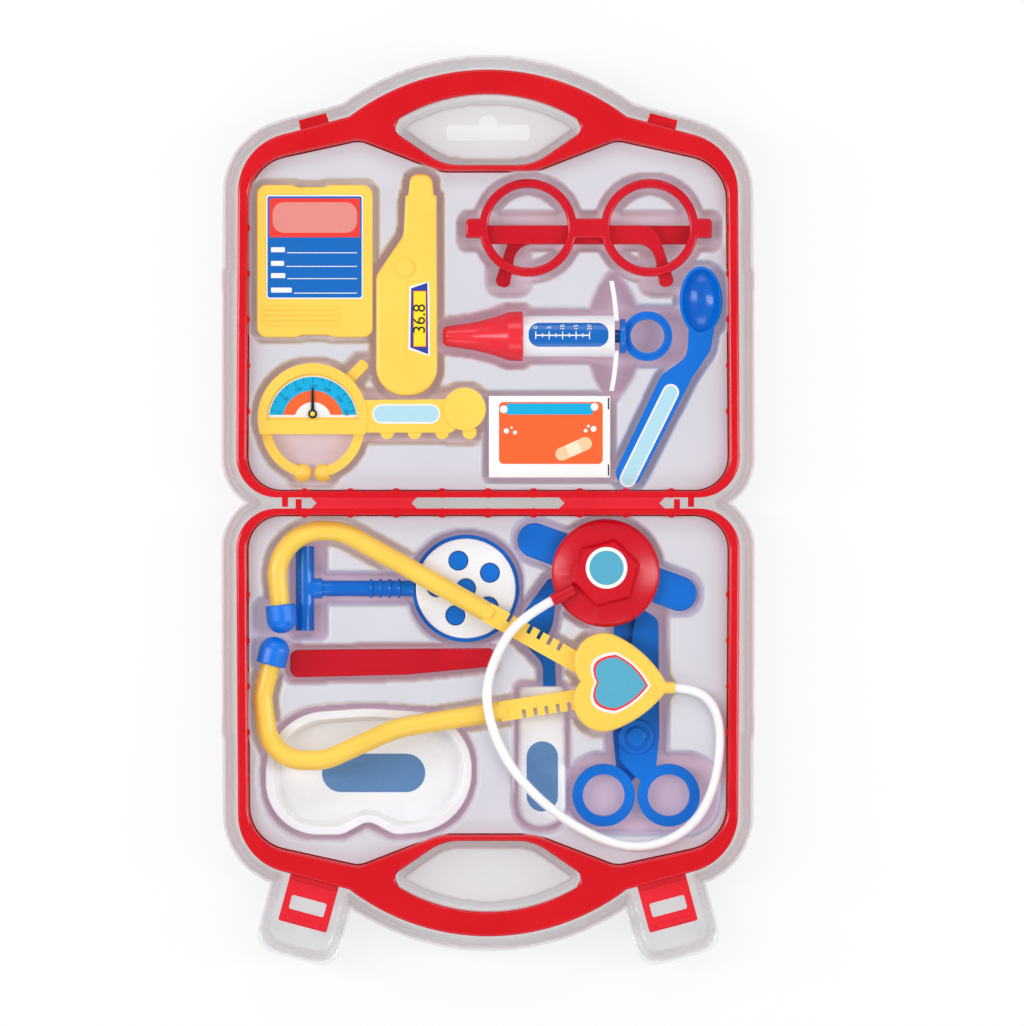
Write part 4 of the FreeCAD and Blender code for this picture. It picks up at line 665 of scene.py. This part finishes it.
toy_yellow = moulded("toy_yellow", seen(248, 206, 84), 0.3)
fasten(softened("badge", 0.6 * MM, toy_yellow), "badge", "yellow_plastic", "badge")
print_white = printed("print_white", seen(240, 238, 236))
print_blue = printed("print_blue", seen(0, 102, 188), 0.22)
print_red = printed("print_red", seen(238, 58, 50), 0.22)
print_rose = printed("print_rose", seen(226, 140, 132), 0.22)
(x0, y0), (x1, y1) = CARD_LOW, CARD_HIGH
card = [
    sticker(CARD_LOW, CARD_HIGH, 1.5, CARD_LEVEL, 0.12, print_white),
    sticker((x0 + 0.7, y0 + 0.7), (x1 - 0.7, y1 - 0.7), 1.1, CARD_LEVEL + 0.1, 0.06, print_blue),
    sticker((x0 + 1.6, 130.4), (x1 - 1.6, y1 - 1.7), 0.8, CARD_LEVEL + 0.14, 0.06, print_red),
    sticker((x0 + 3.2, 132.6), (x1 - 3.0, y1 - 3.6), 5.5, CARD_LEVEL + 0.18, 0.05, print_rose),
]
for row, bar in zip(RULE_ROWS, BAR_LENGTHS):
    bar_low, bar_high = (x0 + 2.4, row + 0.3), (x0 + 2.4 + bar, row + 2.7)
    rule_low, rule_high = (x0 + 3.4 + bar, row - 0.2), (x1 - 3.0, row + 0.2)
    card.append(sticker(bar_low, bar_high, 0.4, CARD_LEVEL + 0.14, 0.05, print_white))
    card.append(sticker(rule_low, rule_high, 0.0, CARD_LEVEL + 0.14, 0.05, print_white))
fasten(joined(card, "badge_card"), "badge", "printed_board")

# The toy thermometer: two yellow halves joined along the middle, with a round button
# and a slanted label whose window shows a plain number.
LABEL_ENDS = [(-39.05, 75.4), (-28.47, 72.1), (-28.86, 109.0), (-38.6, 106.3)]
LABEL_LEVEL = 26.1


def slanted(corners, level, thick, finish):
    """A thin four-sided print: a plane whose corners are moved to their places."""
    deselect()
    bpy.ops.mesh.primitive_plane_add(size=1, location=(0, 0, 0))
    piece = bpy.context.object
    order = [piece.data.vertices[index] for index in piece.data.polygons[0].vertices]
    for point, (x, y) in zip(order, corners):
        point.co = (x * MM, y * MM, level * MM)
    piece.data.materials.append(finish)
    return raised(piece, thick)


def shrunk(corners, margin):
    """Corners pulled in towards the middle of each side by a margin."""
    middle_x = sum(x for x, y in corners) / len(corners)
    middle_y = sum(y for x, y in corners) / len(corners)
    inner = []
    for x, y in corners:
        inner.append((x + math.copysign(margin, middle_x - x), y + math.copysign(margin, middle_y - y)))
    return inner


def number(words, place, height, level, finish, turn=0.0):
    """Plain figures as a thin raised print, centred on a place."""
    deselect()
    spot = (place[0] * MM, place[1] * MM, level * MM)
    bpy.ops.object.text_add(location=spot, rotation=(0, 0, math.radians(turn)))
    piece = bpy.context.object
    piece.data.body = words
    piece.data.size = height * MM
    piece.data.align_x = "CENTER"
    piece.data.align_y = "CENTER"
    piece.data.extrude = 0.03 * MM
    piece.data.resolution_u = 3
    bpy.ops.object.convert(target="MESH")
    piece = bpy.context.object
    bpy.ops.object.transform_apply(location=True, rotation=True, scale=True)
    piece.data.materials.clear()
    piece.data.materials.append(finish)
    return piece


for node in ("thermometer_back", "thermometer_front"):
    fasten(softened(node, 0.7 * MM, toy_yellow), "thermometer", "yellow_plastic", node)
print_navy = printed("print_navy", seen(38, 62, 158), 0.24)
print_lemon = printed("print_lemon", seen(250, 222, 40), 0.24)
print_black = printed("print_black", seen(26, 26, 30), 0.3)
label = [
    slanted(LABEL_ENDS, LABEL_LEVEL, 0.12, print_white),
    slanted(shrunk(LABEL_ENDS, 0.9), LABEL_LEVEL + 0.1, 0.06, print_navy),
    sticker((-36.75, 76.6), (-30.3, 104.2), 0.2, LABEL_LEVEL + 0.14, 0.05, print_red),
    sticker((-36.45, 76.9), (-30.6, 103.9), 0.2, LABEL_LEVEL + 0.17, 0.05, print_lemon),
    number("36.8", (-33.5, 90.4), 8.6, LABEL_LEVEL + 0.24, print_black, 90),
]
fasten(joined(label, "thermometer_label"), "thermometer", "printed_board")

# The toy spectacles: a red front with two open rings and two temples folded behind it.
toy_red = moulded("toy_red", seen(203, 2, 30), 0.2)
for node, body in (
    ("glasses_front", "glasses"),
    ("temple_left", "glasses"),
    ("temple_right", "temple_right"),
):
    fasten(softened(node, 0.9 * MM, toy_red), body, "red_plastic", node)

# The syringe: a white barrel with a winged flange, a red nozzle cap, and a blue plunger with a ring.
# A blue label with a plain scale is wrapped on the barrel.
SCALE_LOW, SCALE_HIGH = (19.4, 76.2), (59.6, 89.0)
BARREL_AXIS = (82.1, 16.5)
BARREL_RADIUS = 10.3
SCALE_STEPS = 9


def wrapped(piece, level):
    """Lays a flat print on the barrel: it is cut into narrow strips, which drop to the round surface."""
    make_active(piece)
    bpy.ops.object.mode_set(mode="EDIT")
    for step in range(-8, 9):
        bpy.ops.mesh.select_all(action="SELECT")
        bpy.ops.mesh.bisect(plane_co=(0, (BARREL_AXIS[0] + step * 0.8) * MM, 0), plane_no=(0, 1, 0))
    bpy.ops.object.mode_set(mode="OBJECT")
    for point in piece.data.vertices:
        aside = point.co.y / MM - BARREL_AXIS[0]
        rise = math.sqrt(BARREL_RADIUS**2 - aside**2)
        point.co.z += (BARREL_AXIS[1] + rise - level) * MM
    return piece


toy_white = moulded("toy_white", seen(240, 240, 244), 0.28)
toy_blue = moulded("toy_blue", seen(0, 110, 212), 0.2)
cap_red = moulded("cap_red", seen(232, 44, 58), 0.2)
fasten(softened("syringe_barrel", 0.5 * MM, toy_white), "syringe", "white_plastic", "syringe_barrel")
fasten(softened("syringe_nozzle", 0.4 * MM, cap_red), "syringe", "red_plastic", "syringe_nozzle")
fasten(softened("syringe_plunger", 0.6 * MM, toy_blue), "plunger", "blue_plastic", "syringe_plunger")
fasten(softened("plunger_piston", 0.3 * MM, toy_blue), "plunger", "blue_rubber", "plunger_piston")
(x0, y0), (x1, y1) = SCALE_LOW, SCALE_HIGH
scale = [
    sticker(SCALE_LOW, SCALE_HIGH, 5.6, 0.05, 0.1, print_white),
    sticker((x0 + 0.5, y0 + 0.5), (x1 - 0.5, y1 - 0.5), 5.2, 0.12, 0.06, print_blue),
    sticker((x0 + 4.0, 82.0), (x0 + 30.4, 82.6), 0.0, 0.16, 0.05, print_white),
]
for step in range(SCALE_STEPS):
    mark = x0 + 4.0 + step * 3.3
    reach = 1.9 if step % 2 == 0 else 1.0
    tick_low, tick_high = (mark - 0.25, 82.3 - reach), (mark + 0.25, 82.3 + reach)
    scale.append(sticker(tick_low, tick_high, 0.0, 0.16, 0.05, print_white))
for step in range(0, SCALE_STEPS, 2):
    mark = x0 + 4.0 + step * 3.3
    scale.append(number(str(step // 2 * 5), (mark, 86.2), 2.9, 0.2, print_white, 90))
fasten(wrapped(joined(scale, "syringe_scale"), 0.0), "syringe", "printed_board")

# The medicine spoon: one glossy blue moulding with a deep oval bowl and a pale label on its handle.
SPOON_TOP = 24.0
SPOON_LABEL = (79.2, 33.1)
SPOON_LABEL_SIZE = (55.6, 8.2)
SPOON_TURN = 63.7
fasten(softened("spoon", 0.7 * MM, toy_blue), "spoon", "blue_plastic", "spoon")
print_pale = printed("print_pale", seen(176, 218, 232), 0.24)
print_cyan = printed("print_cyan", seen(0, 172, 222), 0.24)


def pill(centre, extent, level, thick, finish, turn=0.0):
    """A label with fully round ends."""
    half_x, half_y = extent[0] / 2, extent[1] / 2
    low = (centre[0] - half_x, centre[1] - half_y)
    high = (centre[0] + half_x, centre[1] + half_y)
    return sticker(low, high, min(half_x, half_y) * 0.995, level, thick, finish, turn)


length, width = SPOON_LABEL_SIZE
handle_label = [
    pill(SPOON_LABEL, (length, width), SPOON_TOP, 0.12, print_white, SPOON_TURN),
    pill(SPOON_LABEL, (length - 1.8, width - 1.8), SPOON_TOP + 0.1, 0.06, print_pale, SPOON_TURN),
]
fasten(joined(handle_label, "spoon_label"), "spoon", "printed_board")

# The pressure gauge: a yellow half-round head on a grip, an open clip ring and a loose black needle.
# Its dial is a printed card with two coloured bands, ticks and plain numbers.
DIAL_MIDDLE = (-86.1, 40.4)
DIAL_FLOOR = 22.0
CARD_EDGE, BAND_EDGE = 42.1, 43.3
DIAL_MARKS = 13
GRIP_LABEL = (-40.2, 43.8)
GRIP_TOP = 23.5
needle_black = moulded("needle_black", seen(28, 28, 30), 0.2)
fasten(softened("gauge_body", 0.9 * MM, toy_yellow), "gauge", "yellow_plastic", "gauge_body")
fasten(softened("gauge_needle", 0.15 * MM, needle_black), "needle", "black_needle", "gauge_needle")


def band(outer, inner, edge, level, thick, finish):
    """A round print, cut off below a straight edge and with its middle taken out."""
    deselect()
    place = (DIAL_MIDDLE[0] * MM, DIAL_MIDDLE[1] * MM, level * MM)
    bpy.ops.mesh.primitive_circle_add(vertices=128, radius=outer * MM, fill_type="NGON", location=place)
    piece = bpy.context.object
    bpy.ops.object.transform_apply(location=True, rotation=True, scale=True)
    bpy.ops.object.mode_set(mode="EDIT")
    bpy.ops.mesh.select_all(action="SELECT")
    if inner:
        bpy.ops.mesh.inset(thickness=(outer - inner) * MM)
        bpy.ops.mesh.delete(type="FACE")
    bpy.ops.mesh.select_all(action="SELECT")
    bpy.ops.mesh.bisect(plane_co=(0, edge * MM, 0), plane_no=(0, 1, 0), clear_inner=True)
    bpy.ops.object.mode_set(mode="OBJECT")
    piece.data.materials.append(finish)
    return raised(piece, thick)


print_orange = printed("print_orange", seen(240, 100, 44), 0.26)
print_ink = printed("print_ink", seen(0, 84, 128), 0.26)
dial = [
    band(22.2, 0, CARD_EDGE, DIAL_FLOOR, 0.12, print_white),
    band(21.6, 14.9, BAND_EDGE, DIAL_FLOOR + 0.1, 0.06, print_cyan),
    band(14.9, 9.2, BAND_EDGE, DIAL_FLOOR + 0.1, 0.06, print_orange),
]
for mark in range(DIAL_MARKS):
    angle = math.radians(166 - mark * 152 / (DIAL_MARKS - 1))
    inner = 18.6 if mark % 2 == 0 else 19.8
    middle = (inner + 21.4) / 2
    spot = (DIAL_MIDDLE[0] + middle * math.cos(angle), DIAL_MIDDLE[1] + middle * math.sin(angle))
    extent = (21.4 - inner, 0.34)
    low = (spot[0] - extent[0] / 2, spot[1] - extent[1] / 2)
    high = (spot[0] + extent[0] / 2, spot[1] + extent[1] / 2)
    dial.append(sticker(low, high, 0.0, DIAL_FLOOR + 0.14, 0.05, print_ink, math.degrees(angle)))
    if mark % 2 == 0:
        spot = (DIAL_MIDDLE[0] + 16.9 * math.cos(angle), DIAL_MIDDLE[1] + 16.9 * math.sin(angle))
        dial.append(number(str(mark * 25), spot, 2.5, DIAL_FLOOR + 0.18, print_ink, math.degrees(angle) - 90))
fasten(joined(dial, "gauge_dial"), "gauge", "printed_board")
grip_label = [
    pill(GRIP_LABEL, (33.4, 9.6), GRIP_TOP, 0.12, print_white),
    pill(GRIP_LABEL, (31.8, 8.0), GRIP_TOP + 0.1, 0.06, print_pale),
]
fasten(joined(grip_label, "gauge_grip_label"), "gauge", "printed_board")

# The plaster carton: a small folding box of white board with a plain printed panel and a drawn plaster.
CARTON_TOP = 25.0
BUBBLES = [
    ((9.0, 35.4), 1.3),
    ((11.6, 37.0), 0.6),
    ((13.2, 34.6), 1.0),
    ((47.9, 35.5), 0.9),
    ((49.2, 37.8), 0.7),
    ((51.8, 36.4), 1.45),
    ((7.7, 46.0), 1.9),
    ((52.3, 47.2), 1.9),
]
FLAP_SLIT_SHADES = ((13.4, 19.0), (46.0, 51.6))
PLASTER = (42.0, 26.6)
PLASTER_TURN = 24
board_white = moulded("board_white", seen(240, 240, 238), 0.42)
fasten(softened("bandage_carton", 0.5 * MM, board_white), "carton", "printed_board", "bandage_carton")
print_skin = printed("print_skin", seen(240, 202, 158), 0.4)
print_pad = printed("print_pad", seen(246, 226, 196), 0.5)
pad_low = (PLASTER[0] - 3.2, PLASTER[1] - 3.1)
pad_high = (PLASTER[0] + 3.2, PLASTER[1] + 3.1)
panel = [
    sticker((5.4, 19.2), (56.3, 49.6), 2.2, CARTON_TOP, 0.08, print_orange),
    sticker((9.2, 43.4), (51.4, 48.9), 0.8, CARTON_TOP + 0.06, 0.05, print_cyan),
    pill(PLASTER, (19.0, 6.4), CARTON_TOP + 0.06, 0.05, print_skin, PLASTER_TURN),
    sticker(pad_low, pad_high, 0.3, CARTON_TOP + 0.09, 0.05, print_pad, PLASTER_TURN),
]
for centre, radius in BUBBLES:
    panel.append(dot(centre, radius, CARTON_TOP + 0.09, 0.05, print_white))
# Two black strips along the box's edge are painted shade, standing in for the dark of the flap slits.
for low_y, high_y in FLAP_SLIT_SHADES:
    panel.append(sticker((58.8, low_y), (59.5, high_y), 0.0, CARTON_TOP, 0.04, print_black))
fasten(joined(panel, "carton_print"), "carton", "printed_board")

# The stethoscope: two yellow ear tubes with toothed bars and soft blue tips, a yellow heart yoke with a
# heart-shaped sticker, a white hose pushed on two spouts, and a red listening head.
HOSE_RADIUS = 2.35 * MM
HOSE_ROUTE = [
    (91.7, -90.7, 26.8),
    (102.0, -91.6, 26.8),
    (110.4, -98.2, 26.3),
    (114.2, -109.2, 26.2),
    (114.0, -123.5, 26.2),
    (110.6, -141.0, 26.2),
    (102.0, -157.0, 26.2),
    (86.5, -167.2, 26.2),
    (68.0, -169.4, 26.2),
    (47.0, -161.5, 26.2),
    (27.0, -147.5, 26.4),
    (11.0, -130.0, 27.2),
    (1.5, -110.5, 28.1),
    (-1.5, -91.5, 28.2),
    (4.0, -74.2, 28.2),
    (14.7, -57.2, 28.1),
    (31.5, -47.9, 26.8),
]
HEART_TOP = 29.3
HEART_MIDDLE = (64.4, -88.2)
HEART_ARCS = [
    ((45.4, -87.6), (44.0, -71.4), (61.4, -64.4)),
    ((61.4, -64.4), (77.4, -75.0), (88.7, -90.7)),
    ((88.7, -90.7), (75.6, -104.0), (60.6, -111.8)),
    ((60.6, -111.8), (43.8, -104.6), (45.4, -87.6)),
]
ARC_STEPS = 12
CHEST_LABEL = (58.1, -31.8)
CHEST_TOP = 29.4
curve = bpy.data.curves.new("stethoscope_hose_cord", "CURVE")
curve.dimensions = "3D"
spline = curve.splines.new("NURBS")
spline.points.add(len(HOSE_ROUTE) - 1)
for point, spot in zip(spline.points, HOSE_ROUTE):
    point.co = (*[value * MM for value in spot], 1.0)
spline.order_u = 3
spline.use_endpoint_u = True
spline.resolution_u = 12
curve.bevel_depth = HOSE_RADIUS
curve.bevel_resolution = 6
curve.use_fill_caps = True
hose = bpy.data.objects.new("stethoscope_hose_cord", curve)
bpy.context.collection.objects.link(hose)
hose_white = moulded("hose_white", seen(242, 242, 244), 0.3)
curve.materials.append(hose_white)
fasten(hose, "stethoscope", "white_hose", "stethoscope_hose")

tip_blue = moulded("tip_blue", seen(0, 116, 228), 0.36)
for node in ("stethoscope_arm_upper", "stethoscope_arm_lower"):
    fasten(softened(node, 0.8 * MM, toy_yellow), "stethoscope", "yellow_plastic", node)
for node in ("ear_tip_upper", "ear_tip_lower"):
    fasten(softened(node, 0.8 * MM, tip_blue), "stethoscope", "blue_rubber", node)
for node in ("heart_back", "heart_front"):
    fasten(softened(node, 0.8 * MM, toy_yellow), "stethoscope", "yellow_plastic", node)
fasten(softened("chestpiece", 0.8 * MM, toy_red), "stethoscope", "red_plastic", "chestpiece")
print_teal = printed("print_teal", seen(86, 170, 198), 0.24)
chest_label = [
    dot(CHEST_LABEL, 10.2, CHEST_TOP, 0.12, print_white, 64),
    dot(CHEST_LABEL, 8.4, CHEST_TOP + 0.1, 0.06, print_teal, 64),
]
fasten(joined(chest_label, "chestpiece_label"), "stethoscope", "printed_board")


def heart_print(share, level, thick, finish):
    """A heart-shaped print, the yoke's outline drawn smaller about its middle."""
    ring = []
    for first, painted_glow, last in HEART_ARCS:
        for step in range(ARC_STEPS):
            along = step / ARC_STEPS
            weights = ((1 - along) * (1 - 2 * along), 4 * along * (1 - along), along * (2 * along - 1))
            ends = (first, painted_glow, last)
            ring.append([sum(w * p[axis] for w, p in zip(weights, ends)) for axis in (0, 1)])
    deselect()
    bpy.ops.mesh.primitive_circle_add(vertices=len(ring), radius=MM, fill_type="NGON", location=(0, 0, 0))
    piece = bpy.context.object
    order = [piece.data.vertices[index] for index in piece.data.polygons[0].vertices]
    for point, spot in zip(order, ring):
        x, y = (middle + (value - middle) * share for value, middle in zip(spot, HEART_MIDDLE))
        point.co = (x * MM, y * MM, level * MM)
    piece.data.materials.append(finish)
    return raised(piece, thick)


heart_label = [
    heart_print(0.64, HEART_TOP, 0.1, print_white),
    heart_print(0.58, HEART_TOP + 0.08, 0.05, print_red),
    heart_print(0.53, HEART_TOP + 0.11, 0.05, print_teal),
]
fasten(joined(heart_label, "heart_label"), "stethoscope", "printed_board")

# The reflex hammer: a blue cross head on a ringed rod with a round dish, under a white cover
# whose round holes show the blue below.
for node, finish, slot in (
    ("hammer_head", toy_blue, "blue_plastic"),
    ("hammer_handle", toy_blue, "blue_plastic"),
    ("hammer_cover", toy_white, "white_plastic"),
):
    fasten(softened(node, 0.6 * MM, finish), "hammer", slot, node)

# The tweezers: one red moulding bent back on itself.
fasten(softened("tweezers", 0.7 * MM, toy_red), "tweezers", "red_plastic", "tweezers")

# The kidney dish: a thin-walled white tray with a pale oval label on its floor.
DISH_LABEL = (-56.6, -133.3)
DISH_FLOOR = 6.0
fasten(softened("kidney_dish", 0.5 * MM, toy_white), "dish", "white_plastic", "kidney_dish")
print_slate = printed("print_slate", seen(92, 134, 182), 0.26)
dish_label = pill(DISH_LABEL, (51.0, 19.0), DISH_FLOOR, 0.12, print_slate)
dish_label.name = "dish_label"
fasten(dish_label, "dish", "printed_board")

# The throat mirror: a white grip with an oval blue sticker, and a blue leaf-shaped head.
GRIP_STICKER = (26.7, -134.7)
MIRROR_TOP = 14.0
fasten(softened("mirror_handle", 1.2 * MM, toy_white), "mirror", "white_plastic", "mirror_handle")
fasten(softened("mirror_head", 0.6 * MM, toy_blue), "mirror", "blue_plastic", "mirror_head")
mirror_label = pill(GRIP_STICKER, (15.4, 34.6), MIRROR_TOP, 0.12, print_slate)
mirror_label.name = "mirror_label"
fasten(mirror_label, "mirror", "printed_board")

# The tongue depressor: a flat blue stick with round ends.
fasten(softened("tongue_depressor", 0.8 * MM, toy_blue), "depressor", "blue_plastic", "tongue_depressor")

# The toy scissors: two blue halves on a blue rivet.
for node, body in (
    ("scissor_lower", "scissors"),
    ("scissor_upper", "scissor_upper"),
    ("scissor_rivet", "scissors"),
):
    fasten(softened(node, 0.7 * MM, toy_blue), body, "blue_plastic", node)
